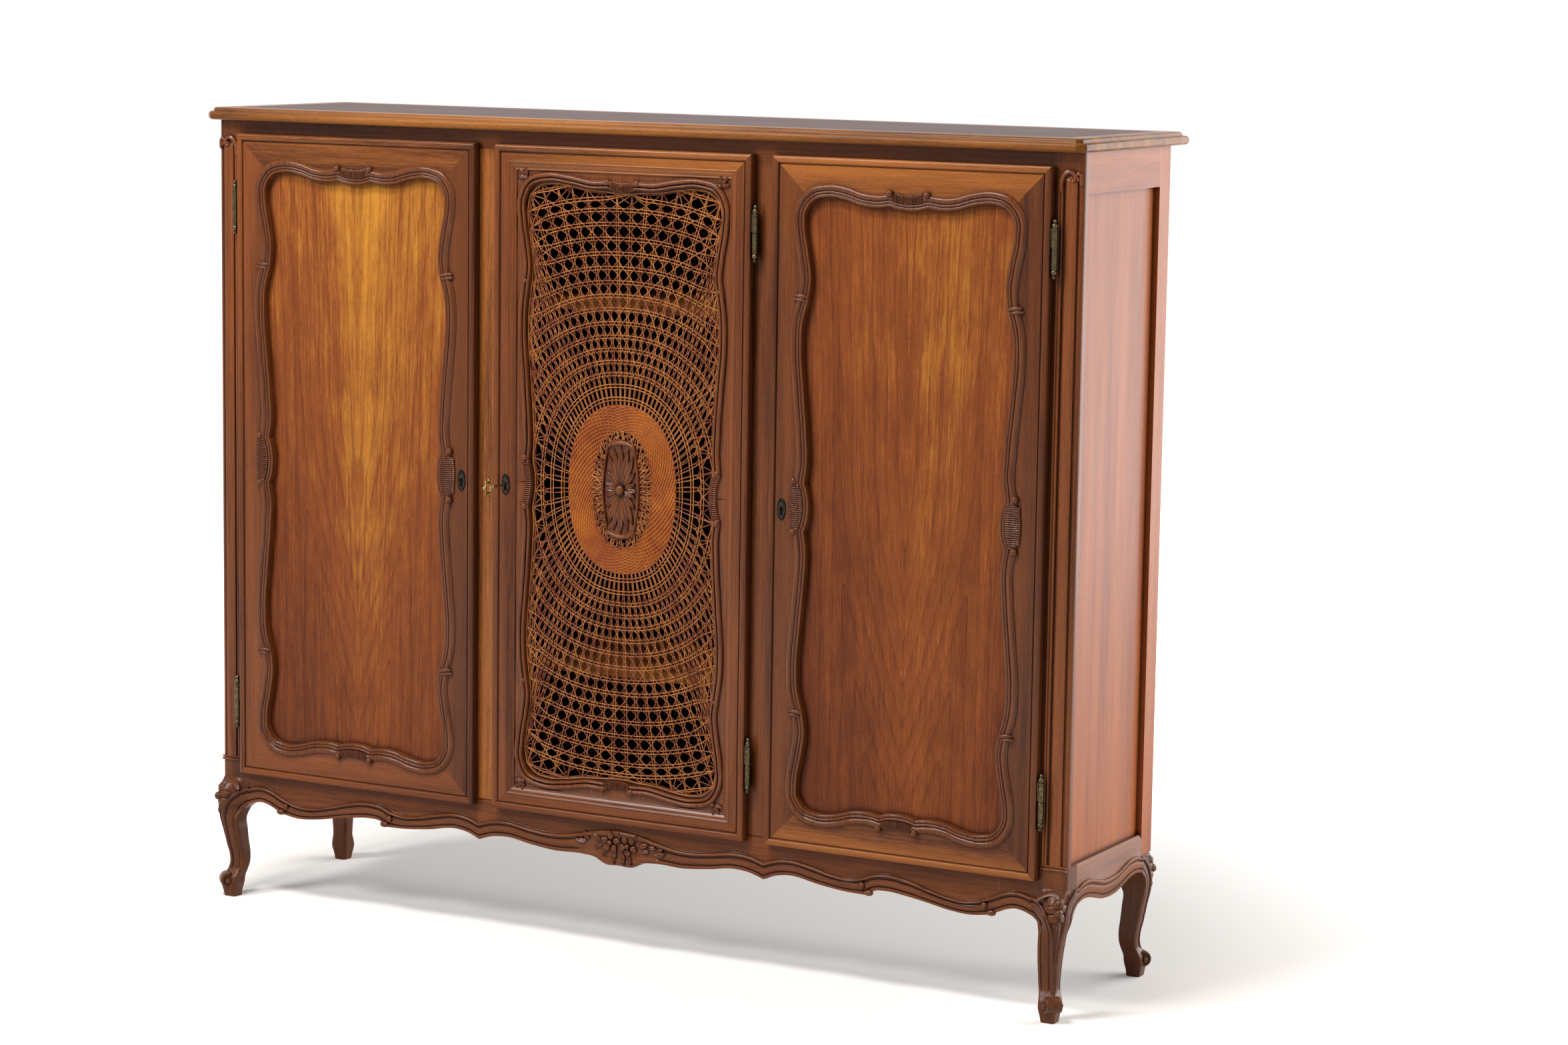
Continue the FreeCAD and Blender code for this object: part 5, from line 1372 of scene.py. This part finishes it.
def make_cane_border():
    """Carved border round the cane: a bead along its wavy inner edge, ribbed shells, corner leaves and buds.

    From its inner edge the border runs out to a rectangle: each point goes to the same share of the way
    between the rectangle's two corner mitres.
    """
    half_u, half_w = (BORDER_HIGH[0] - BORDER_LOW[0]) / 2, (BORDER_HIGH[2] - BORDER_LOW[2]) / 2
    plane = local_frame((DOOR_CENTRES["middle"], BORDER_LOW[1], DOOR_LEVEL))
    path, normal, top_zone, side_zone = shelled_path(BORDER_QUARTER, BORDER_SHELL_TOP)
    zone = np.maximum(top_zone, side_zone)
    u, w = path.T
    to_corner = half_w - half_u
    side_share = w / (to_corner + np.abs(u))
    on_side = np.abs(side_share) <= 1
    outer_u = np.where(on_side, np.sign(u) * half_u, u / np.maximum(np.abs(w) - to_corner, 1) * half_u)
    outer_w = np.where(on_side, side_share * half_w, np.sign(w) * half_w)
    outer = np.stack([outer_u, outer_w], axis=1)

    distance = np.linspace(0, 16, 33)[None]
    near = path[:, None] + distance[..., None] * normal[:, None]
    ribs = shell_ribs(near, top_zone, 0.85)
    bead_out = 4.0 * reed(distance, 2.9, 3.0) + 5.8 * reed(distance, 10.6, 4.7)
    shell_out = (1.6 + 4.4 * reed(distance, 6.0, 9.5)) * (0.58 + 0.42 * ribs)
    shell_out = shell_out * (1 - smooth_step(distance, 12.5, 15.5))
    near_out = (1 - zone) * bead_out + zone * shell_out
    near = np.clip(near, (-half_u, -half_w), (half_u, half_w))
    back = BORDER_LOW[1] - CANE_FRONT
    flat = np.concatenate([near, np.stack([outer, outer, path], axis=1)], axis=1)
    far_out = np.tile([0.0, back, back], (len(path), 1))
    out = np.concatenate([near_out, far_out], axis=1)
    shapes = [grid(place(plane, flat[..., 0], flat[..., 1], out), wrap_rows=True, wrap_columns=True)]
    ledge = np.array([[1.0, -LEDGE, -LEDGE, 1.0]]), np.array([[back, back, back - 3, back - 3]])
    shapes.append(carry(plane, path, *ledge))
    for su, sw in CORNERS:
        shapes += shell_balls(plane, BORDER_BALLS, 2.0, su, sw)
        shapes.append(bead(plane, (su * BUD_OUT, sw * KNUCKLE_UP, 2.0), (5.5, 4.2, 4.0)))
        shapes += corner_leaves(plane, su, sw)
    make_piece("middle_cane_border_carved", join(shapes), carved_walnut(), "middle_door",
               ("middle_cane_border",))


def corner_leaves(plane, su, sw):
    """Spray of leaves round a bud in a corner of the border: each as (turn, length, width, height)."""
    heading = math.atan2(sw, su)
    across, up = su * LEAF_CORNER[0], sw * LEAF_CORNER[1]
    leaves = [(0.0, 22, 9, 0.0), (0.75, 20, 8, 0.5), (-0.75, 20, 8, 0.5), (2.5, 12, 7, 0.0),
              (-2.5, 12, 7, 0.0)]
    shapes = [leaf(plane, (across, up, base), heading + turn, length, width, 4.0, bend=-0.3 * turn, lift=1.5)
              for turn, length, width, base in leaves]
    return shapes + [bead(plane, (across, up, 2.5), (4, 4, 3.6))]


# Cane

def oval_reach(angle, half_width, half_height):
    """Reach at an angle of an oval fuller than an ellipse: powers of both shares add up to one."""
    across = (np.abs(np.cos(angle)) / half_width) ** OVAL_POWER
    up = (np.abs(np.sin(angle)) / half_height) ** OVAL_POWER
    return (across + up) ** (-1 / OVAL_POWER)


class CaneNet:
    """Net of the middle door: spoke number and reach outside the woven oval, to places in the door's plane.

    A spoke leaves the oval at an angle whose density is even from the top to half way down, then thins out
    to the side, and ends at an even step along the border. Between them its angle changes evenly.
    """

    def __init__(self):
        path = closed_outline(BORDER_QUARTER, 2.0)
        loop = np.concatenate([path, path[:1]])
        length = lengths_along(loop)
        self.number = length / length[-1] * SPOKES
        self.border_angle = np.unwrap(np.arctan2(loop[:, 1], loop[:, 0]))
        border_reach = np.linalg.norm(loop, axis=1)
        tilt = np.linspace(np.pi / 2, -3 * np.pi / 2, 721)
        from_side = np.degrees(np.arcsin(np.abs(np.sin(tilt))))
        density = np.interp(from_side, (0, 50, 90), (0.103, 0.3125, 0.3125))
        count = np.concatenate([[0], np.cumsum((density[1:] + density[:-1]) / 2)])
        self.oval_angle = np.interp(self.number, count / count[-1] * SPOKES, tilt)
        self.full_reach = np.zeros_like(self.number)
        for _ in range(25):
            grown = [half + self.full_reach for half in WEAVE_HALF]
            self.full_reach = self.full_reach + border_reach - oval_reach(self.border_angle, *grown)

    def wrapped(self, spoke, values, step):
        """Value at a spoke number that may run past a full turn, each turn adding a step."""
        turns = np.floor(spoke / SPOKES)
        return np.interp(spoke - turns * SPOKES, self.number, values) + step * turns

    def place(self, spoke, reach):
        """Point of a spoke at a reach outside the oval, and how much room is left to the border."""
        full = self.wrapped(spoke, self.full_reach, 0)
        start = self.wrapped(spoke, self.oval_angle, -2 * np.pi)
        end = self.wrapped(spoke, self.border_angle, -2 * np.pi)
        angle = start + (end - start) * np.clip(reach / full, -0.1, 1.1)
        radius = oval_reach(angle, WEAVE_HALF[0] + reach, WEAVE_HALF[1] + reach)
        return radius * np.cos(angle), radius * np.sin(angle), full - reach

    def holes(self):
        """Holes along the cane's edge, one for each spoke, on the ledge inside the border."""
        number = np.arange(SPOKES) + 0.5
        x, z, _ = self.place(number, self.wrapped(number, self.full_reach, 0) - LEDGE / 2)
        return np.stack([x, z], axis=1)


def strand(plane, across, up, out, room, holes, width, thickness):
    """Flat strands along a path inside the holes' line, each end at the border drawn into its nearest hole.

    The pull towards a hole, and down to the ledge, fades as a power of the distance from the end.
    """
    shapes = []
    keep = room > LEDGE / 2
    runs = np.flatnonzero(np.diff(np.concatenate([[0], keep.astype(int), [0]])))
    for start, end in zip(runs[::2], runs[1::2]):
        if end - start < 4:
            continue
        path = np.stack([across[start:end], up[start:end]], axis=1)
        height = out[start:end]
        length = lengths_along(path)
        for tip, distance in ((0, length), (-1, length[-1] - length)):
            if room[start:end][tip] > 14:
                continue
            pull = np.clip(1 - distance / HOLE_PULL, 0, 1) ** 1.3
            hole = holes[np.linalg.norm(holes - path[tip], axis=1).argmin()]
            path = path + pull[:, None] * (hole - path[tip])
            height = height * (1 - pull) + 0.6 * pull
        points = place(plane, path[:, 0], path[:, 1], height)
        shapes.append(tube(points, width / 2, sides=6, squash=thickness / width))
    return shapes


def make_cane():
    """Cane net: pairs of spokes and of rings, two sets of diagonals woven through them, and a bound edge."""
    width, thickness, pair = (length_of(key) for key in ("strand_width", "strand_thickness", "pair_gap"))
    plane = local_frame((DOOR_CENTRES["middle"], CANE_FRONT, DOOR_LEVEL))
    net = CaneNet()
    holes = net.holes()
    rings_at = np.array(RING_REACH, float)

    spokes, rings, diagonals = [], [], []
    reach = np.linspace(-6, 420, 76)
    for number in np.arange(SPOKES) + 0.5:
        x, z, room = net.place(np.full_like(reach, number), reach)
        next_x, next_z, _ = net.place(np.full_like(reach, number + 0.1), reach)
        apart = np.hypot(next_x - x, next_z - z)
        pitch = 10 * apart
        tight = 2.0 + np.clip(pitch - 9.5, 0, None) * 0.6
        wide = pair * (0.68 + 0.32 * smooth_step(reach, 120, 300))
        gap = tight + (np.minimum(wide, 0.45 * pitch) - tight) * smooth_step(reach, 18, 60)
        side_x, side_z = (next_x - x) / apart, (next_z - z) / apart
        for sign in (-0.5, 0.5):
            spoke_x, spoke_z = x + sign * gap * side_x, z + sign * gap * side_z
            spokes += strand(plane, spoke_x, spoke_z, np.full_like(x, 0.9), room, holes, width, thickness)
    around = np.linspace(0, SPOKES, SPOKES * 5 + 1)
    for ring in rings_at:
        for sign in (-0.5, 0.5):
            x, z, room = net.place(around, ring + sign * 1.08 * pair)
            wave = 0.7 * sign * np.cos(2 * np.pi * around)
            rings += strand(plane, x, z, 2.3 + wave, room, holes, width, thickness)
    level = np.linspace(1.5, len(rings_at) - 1, (len(rings_at) - 2) * 5)
    level_reach = np.interp(level, np.arange(len(rings_at)), rings_at)
    for number in range(SPOKES):
        for hand in (-1, 1):
            x, z, room = net.place(number + hand * (level - 1.0), level_reach)
            out = 2.2 + 1.3 * np.cos(2 * np.pi * level) + 0.25 * hand
            diagonals += strand(plane, x, z, out, room, holes, width * 0.95, thickness)
    edge = resample(np.concatenate([holes, holes[:1]]), 7)
    binding = tube(place(plane, edge[:, 0], edge[:, 1], 1.6), width * 0.55, sides=6, squash=0.6)
    brown, gold = rattan("brown", 0.04), rattan("gold", -0.08)
    make_piece("cane_spokes", join(spokes), brown, "middle_door", ("middle_cane_panel",))
    make_piece("cane_rings", join(rings), gold, "middle_door")
    make_piece("cane_diagonals", join(diagonals), rattan("red", 0.16), "middle_door")
    make_piece("cane_binding", binding, gold, "middle_door")


def make_weave():
    """Woven oval: rows of cane over and under the stakes in turn, and a stitched fringe round the medallion.

    Out from the plane, a row is a half-round ridge whose height swings with the stakes, opposite to the next.
    """
    plane = local_frame((DOOR_CENTRES["middle"], CANE_FRONT, DOOR_LEVEL))
    rows = int(round((WEAVE_HALF[0] - WEAVE_INNER[0]) / length_of("weave_row")))
    across_row = np.linspace(0, rows, rows * 6 + 1)[:, None]
    turn = np.linspace(0, 2 * np.pi, STAKES * 6, endpoint=False)[None]
    halves = [inner + across_row / rows * (outer - inner) for inner, outer in zip(WEAVE_INNER, WEAVE_HALF)]
    reach = oval_reach(turn, *halves)
    over = np.cos(STAKES / 2 * turn + np.pi * np.floor(across_row - 1e-9))
    ridge = np.abs(np.sin(np.pi * across_row)) ** 0.55
    out = 1.2 + ridge * (0.9 + 1.3 * over)
    x, z = reach * np.cos(turn), reach * np.sin(turn)
    points = np.concatenate([place(plane, x, z, out), place(plane, x[[-1, 0]], z[[-1, 0]], -0.6)])
    oval = grid(points, wrap_rows=True, wrap_columns=True)
    make_piece("cane_oval", oval, woven_rattan(), "middle_door")

    fringe = []
    share = np.linspace(0, 1, 6)
    for stitches, low, high, sway in FRINGE_ROWS:
        for index in range(stitches):
            reach = low + (high - low + 2.5 * math.sin(1.7 * index)) * share
            angle = 2 * np.pi * index / stitches + sway * math.sin(2.3 * index) * share
            radius = oval_reach(angle, FRINGE_INNER[0] + reach, FRINGE_INNER[1] + reach)
            out = 1.0 + 2.4 * np.sin(np.pi * share) + 0.7 * math.cos(3.1 * index)
            path = place(plane, radius * np.cos(angle), radius * np.sin(angle), out)
            fringe.append(tube(path, 1.15, sides=6, squash=0.7))
    make_piece("cane_fringe", join(fringe), rattan("fringe", 0.05), "middle_door")


def make_medallion():
    """Medallion: a waisted cartouche with a raised rim and rolled ends, filled with petals round a ball."""
    plane = local_frame((DOOR_CENTRES["middle"], CANE_FRONT, DOOR_LEVEL))
    share = np.linspace(-1, 1, 91)[:, None]
    side = np.linspace(-1, 1, 61)[None]
    half = MEDALLION_WIDTH - MEDALLION_WAIST * np.abs(share) ** 1.7
    up = share * (MEDALLION_HALF + MEDALLION_CROWN * (1 - side**2))
    edge = half * (1 - np.abs(side))
    end = MEDALLION_HALF * (1 - np.abs(share))
    rim = np.maximum(reed(edge, 2.4, 2.5), reed(end, 4.2, 4.4))
    front = place(plane, side * half, up, 3.0 + 5.0 * rim)
    loop = np.concatenate([front[0], front[1:, -1], front[-1, -2::-1], front[-2:0:-1, 0]])
    base = loop.copy()
    base[:, 1] = CANE_FRONT + 0.5
    rear = Shape(base, [list(range(len(base)))])
    shapes = [grid(front), grid(np.stack([loop, base]), wrap_columns=True), rear]
    for way in (-1, 1):
        for turn, length, width in LONG_PETALS:
            angle = way * np.pi / 2 + turn
            root = (6 * math.cos(angle), 6 * math.sin(angle), 3.2)
            shapes.append(leaf(plane, root, angle, length, width, 4.6, lift=0.4, groove=0.4))
        level = 0 if way > 0 else np.pi
        shapes += [leaf(plane, (way * 6, 0, 3.4), level + turn, length, 12, 5.0, lift=0.5)
                   for turn, length in SIDE_PETALS]
    shapes.append(bead(plane, (0, 0, 7.0), (8.2, 9.0, 6.5), rows=14, columns=24))
    make_piece("middle_medallion_carved", join(shapes), carved_walnut("medallion", 1.0, 8.0), "middle_door",
               ("middle_medallion",))


# Metalwork

def make_hinges():
    """Lift-off hinges: turned barrels with ball finials, half with a leaf on the door, half on the post."""
    radius = length_of("barrel_radius")
    joints = {joint["name"]: np.array(joint["pos_m"]) / MM for joint in frame["joints"] if "pos_m" in joint}
    upper = [(0.0, BARREL_PLAY), (radius - 0.5, BARREL_PLAY), (radius, BARREL_PLAY + 0.6)]
    upper += [(radius - inset, BARREL_LENGTH + rise) for inset, rise in FINIAL]
    upper.append((0.0, BARREL_LENGTH + FINIAL_TIP))
    lower = [(r, -h) for r, h in upper]
    leaf_from, leaf_to = 3.0, BARREL_LENGTH - 3.0
    post_shapes = []
    for door in DOORS:
        x, y, _ = joints[f"{door}_door_hinge"]
        low, high = DOOR_BOXES[door]
        near, far = sorted((high[0] if x > DOOR_CENTRES[door] else low[0], x))
        door_shapes = []
        for level in (low[2] + HINGE_INSET, high[2] - HINGE_INSET):
            plane = local_frame((x, y, level))
            door_shapes.append(lathe(plane, (0, 0, 0), upper))
            post_shapes.append(lathe(plane, (0, 0, 0), lower))
            door_shapes.append(slab((near, y - 1, level + leaf_from), (far, y + 1, level + leaf_to)))
            post_shapes.append(slab((x - 1, y, level - leaf_to), (x + 1, FRAME_FRONT, level - leaf_from)))
        make_piece(f"{door}_hinge_turned", join(door_shapes), aged_brass(), f"{door}_door",
                   (f"{door}_hinge_leaves",))
    make_piece("post_hinge_turned", join(post_shapes), aged_brass(), "carcass",
               ("hinge_post_leaves",))


def keyhole_outline(turn):
    """Reach of a keyhole's edge at an angle: a round hole with a slot below it."""
    beside = KEYHOLE_SLOT / np.maximum(np.abs(np.cos(turn)), 1e-3)
    below = KEYHOLE_DROP / np.maximum(-np.sin(turn), 1e-3)
    return np.maximum(KEYHOLE_RADIUS, np.where(np.sin(turn) < 0, np.minimum(beside, below), 0))


def make_escutcheons():
    """Oval escutcheons: a beaded rim round a dished plate with a keyhole."""
    bronze = metal("bronze_cast_dark", palette("bronze"), 0.42)
    turn = np.linspace(0, 2 * np.pi, 144, endpoint=False)[None]
    share = np.linspace(0, 1, 16)[:, None]
    hole = keyhole_outline(turn)
    inner_x, inner_z = hole * np.cos(turn), hole * np.sin(turn)
    x = inner_x + share * (ESCUTCHEON_HALF[0] * np.cos(turn) - inner_x)
    z = inner_z + share * (ESCUTCHEON_HALF[1] * np.sin(turn) - inner_z)
    beads = 0.6 + 0.4 * np.cos(RIM_BEADS * turn)
    out = 0.9 + 0.5 * reed(share, 0.1, 0.14) + 1.5 * reed(share, 0.78, 0.2) * beads
    out = out - 0.5 * smooth_step(share, 0.95, 1)
    for door in DOORS:
        low, high = node_box(f"{door}_escutcheon")
        centre = (low + high) / 2
        plane = local_frame((centre[0], DOOR_FIELD, centre[2]))
        plate = np.concatenate([place(plane, x, z, out), place(plane, x[[-1, 0]], z[[-1, 0]], 0.0)])
        make_piece(f"{door}_escutcheon_beaded", grid(plate, wrap_rows=True, wrap_columns=True), bronze,
                   f"{door}_door", (f"{door}_escutcheon",))
        # Painted shade: a near-black sheet behind each keyhole, where the stile behind it has no hole.
        dark = np.concatenate([place(plane, inner_x * 1.04, inner_z * 1.04, depth) for depth in (0.25, -0.3)])
        dark_shape = grid(dark, wrap_columns=True, caps=True)
        make_piece(f"{door}_keyhole", dark_shape, keyhole_painted_shade(), f"{door}_door")


def make_key():
    """Key of the middle lock: turned shank and a pierced bow of scrolls."""
    low, high = node_box("key")
    plate_low, plate_high = node_box("middle_escutcheon")
    tip = ((low[0] + high[0]) / 2, low[1], (plate_low[2] + plate_high[2]) / 2)
    length = high[1] - low[1]
    shank = local_frame(tip, ((1, 0, 0), (0, 1, 0), (0, 0, 1)))
    bow = local_frame(tip, ((0, 1, 0), (0, 0, 1), (-1, 0, 0)))
    profile = [(radius, KEY_BOW + along) for radius, along in KEY_COLLAR] + [(2.1, length), (0.0, length)]
    shapes = [lathe(shank, (0, 0, 0), profile)]
    turn = np.linspace(0, 2 * np.pi, 41)
    ring = place(bow, 15 + 8.5 * np.cos(turn), 9.5 * np.sin(turn), 0.0)
    shapes.append(tube(ring, 1.7, sides=8, lean=(1, 0, 0)))
    for sign in (-1, 1):
        for along, up, radius, start in KEY_SCROLLS:
            shapes.append(volute(bow, (along, sign * up, 0), radius, 1.3, turns=1.1, start=sign * start,
                                 hand=sign, rise=0.0))
    shapes.append(bead(bow, (2.4, 0, 0), (2.4, 3.0, 2.2)))
    shapes.append(bead(bow, (6.2, 0, 0), (2.2, 4.0, 1.8)))
    brass = metal("brass_polished_key", hex_colour("#C2A56A"), 0.28)
    make_piece("key_ornate", join(shapes), brass, "key", ("key",))


# Stage

def looking_rays(tree):
    """1 for rays that see the surround: from the camera, off gloss or through a clear thing; 0 for light."""
    rays = add_node(tree, "LightPath").node.outputs
    seen = add_node(tree, "Math", {0: rays["Is Camera Ray"], 1: rays["Is Glossy Ray"]}, operation="MAXIMUM")
    return add_node(tree, "Math", {0: seen, 1: rays["Is Transmission Ray"]}, operation="MAXIMUM")


def studio_floor():
    """Painted matt floor: grey to the light, lifted to white for the camera, so that only shadows show."""
    material, tree, shader, vector = start_material("floor_painted_matt")
    far = add_node(tree, "VectorMath", {0: vector}, "Value", operation="LENGTH")
    lift = add_node(tree, "MapRange", {"Value": far, "From Min": 0.9, "From Max": 2.6, "To Min": 0.13,
                                       "To Max": 1.0})
    glow = add_node(tree, "Math", {0: lift, 1: looking_rays(tree)}, operation="MULTIPLY")
    set_inputs(tree, shader, {"Base Color": (*hex_colour("#F2EDE8"), 1.0), "Roughness": 0.8,
                              "Specular IOR Level": 0.1, "Emission Color": (1, 1, 1, 1),
                              "Emission Strength": glow})
    return material


def make_floor():
    """Flat square floor."""
    reach = FLOOR_REACH
    mesh = bpy.data.meshes.new("floor")
    corners = [(-reach, -reach, 0), (reach, -reach, 0), (reach, reach, 0), (-reach, reach, 0)]
    mesh.from_pydata(corners, [], [(0, 1, 2, 3)])
    mesh.materials.append(studio_floor())
    floor = bpy.data.objects.new("floor", mesh)
    bpy.context.scene.collection.objects.link(floor)


def make_surround():
    """World that lights softly and looks white."""
    world = bpy.data.worlds.new("studio")
    bpy.context.scene.world = world
    world.use_nodes = True
    tree = world.node_tree
    background = tree.nodes["Background"]
    set_inputs(tree, background, {"Color": (1, 1, 1, 1), "Strength": WORLD_STRENGTH})
    white = add_node(tree, "Background", {"Color": (1, 1, 1, 1), "Strength": 1.0})
    seen = add_node(tree, "MixShader", {0: looking_rays(tree), 1: background.outputs[0], 2: white})
    set_inputs(tree, tree.nodes["World Output"], {"Surface": seen})


def make_lamps():
    """Soft area lamps, each turned to its aim."""
    for name, place_at, aim, (wide, tall), power in LAMPS:
        light = bpy.data.lights.new(name, "AREA")
        light.shape = "RECTANGLE"
        light.size = wide
        light.size_y = tall
        light.energy = power
        lamp = bpy.data.objects.new(name, light)
        lamp.location = place_at
        lamp.rotation_mode = "QUATERNION"
        lamp.rotation_quaternion = (Vector(aim) - Vector(place_at)).to_track_quat("-Z", "Y")
        bpy.context.scene.collection.objects.link(lamp)


def make_camera():
    """Camera of the photograph: turned by its yaw, tipped down by its pitch and rolled about its view."""
    yaw, pitch, roll = CAMERA_YAW, CAMERA_PITCH, CAMERA_ROLL
    ahead = Vector((-math.sin(yaw) * math.cos(pitch), math.cos(yaw) * math.cos(pitch), -math.sin(pitch)))
    level = Vector((math.cos(yaw), math.sin(yaw), 0))
    above = level.cross(ahead)
    right = math.cos(roll) * level + math.sin(roll) * above
    up = math.cos(roll) * above - math.sin(roll) * level
    data = bpy.data.cameras.new("view")
    data.sensor_width = SENSOR_WIDTH
    data.lens = LENS_PIXELS / PHOTO_WIDTH * SENSOR_WIDTH
    data.clip_end = 60.0
    camera = bpy.data.objects.new("view", data)
    turn = Matrix((right, up, -ahead)).transposed().to_4x4()
    camera.matrix_world = Matrix.Translation(CAMERA_PLACE) @ turn
    bpy.context.scene.collection.objects.link(camera)
    bpy.context.scene.camera = camera


def make_stage():
    """Pale floor, white surround, soft lamps and the camera."""
    bpy.context.scene.view_settings.view_transform = "Standard"
    make_floor()
    make_surround()
    make_lamps()
    make_camera()


# Add-on

class CREDENZA_OT_boards(bpy.types.Operator):
    """Finish the plain boards of the case"""
    bl_idname = "credenza.boards"
    bl_label = "Boards"

    def execute(self, context):
        dress_boards()
        return {"FINISHED"}


class CREDENZA_OT_top(bpy.types.Operator):
    """Make the moulded top"""
    bl_idname = "credenza.top"
    bl_label = "Top"

    def execute(self, context):
        make_top()
        return {"FINISHED"}


class CREDENZA_OT_posts(bpy.types.Operator):
    """Make the carved front posts"""
    bl_idname = "credenza.posts"
    bl_label = "Posts"

    def execute(self, context):
        make_posts()
        return {"FINISHED"}


class CREDENZA_OT_aprons(bpy.types.Operator):
    """Make the scalloped aprons"""
    bl_idname = "credenza.aprons"
    bl_label = "Aprons"

    def execute(self, context):
        make_aprons()
        return {"FINISHED"}


class CREDENZA_OT_legs(bpy.types.Operator):
    """Make the cabriole legs"""
    bl_idname = "credenza.legs"
    bl_label = "Legs"

    def execute(self, context):
        make_legs()
        return {"FINISHED"}


class CREDENZA_OT_doors(bpy.types.Operator):
    """Make the door frames and the carved mouldings"""
    bl_idname = "credenza.doors"
    bl_label = "Doors"

    def execute(self, context):
        make_door_frames()
        make_mouldings()
        return {"FINISHED"}


class CREDENZA_OT_cane(bpy.types.Operator):
    """Make the caned panel with its border and medallion"""
    bl_idname = "credenza.cane"
    bl_label = "Cane"

    def execute(self, context):
        make_cane_border()
        make_cane()
        make_weave()
        make_medallion()
        return {"FINISHED"}


class CREDENZA_OT_metalwork(bpy.types.Operator):
    """Make the hinges, escutcheons and key"""
    bl_idname = "credenza.metalwork"
    bl_label = "Metalwork"

    def execute(self, context):
        make_hinges()
        make_escutcheons()
        make_key()
        return {"FINISHED"}


class CREDENZA_OT_stage(bpy.types.Operator):
    """Set up the floor, lamps and camera"""
    bl_idname = "credenza.stage"
    bl_label = "Stage"

    def execute(self, context):
        make_stage()
        return {"FINISHED"}


OPERATORS = (CREDENZA_OT_boards, CREDENZA_OT_top, CREDENZA_OT_posts, CREDENZA_OT_aprons, CREDENZA_OT_legs,
             CREDENZA_OT_doors, CREDENZA_OT_cane, CREDENZA_OT_metalwork, CREDENZA_OT_stage)


class CREDENZA_PT_panel(bpy.types.Panel):
    """Sizes, colours and pieces of the credenza"""
    bl_idname = "CREDENZA_PT_panel"
    bl_label = "Credenza"
    bl_space_type = "VIEW_3D"
    bl_region_type = "UI"
    bl_category = "Credenza"

    def draw(self, context):
        for group in (context.scene.credenza_sizes, context.scene.credenza_colours):
            for key in group.__annotations__:
                self.layout.prop(group, key)
        for operator in OPERATORS:
            self.layout.operator(operator.bl_idname)


CLASSES = (CredenzaSizes, CredenzaColours, *OPERATORS, CREDENZA_PT_panel)


def register():
    """Register the classes and hang the property groups on the scene."""
    for cls in CLASSES:
        bpy.utils.register_class(cls)
    bpy.types.Scene.credenza_sizes = PointerProperty(type=CredenzaSizes)
    bpy.types.Scene.credenza_colours = PointerProperty(type=CredenzaColours)


def unregister():
    """Undo register."""
    del bpy.types.Scene.credenza_colours
    del bpy.types.Scene.credenza_sizes
    for cls in reversed(CLASSES):
        bpy.utils.unregister_class(cls)


def main():
    """Build every piece."""
    register()
    for operator in OPERATORS:
        group, name = operator.bl_idname.split(".")
        getattr(getattr(bpy.ops, group), name)()


if __name__ == "__main__":
    main()
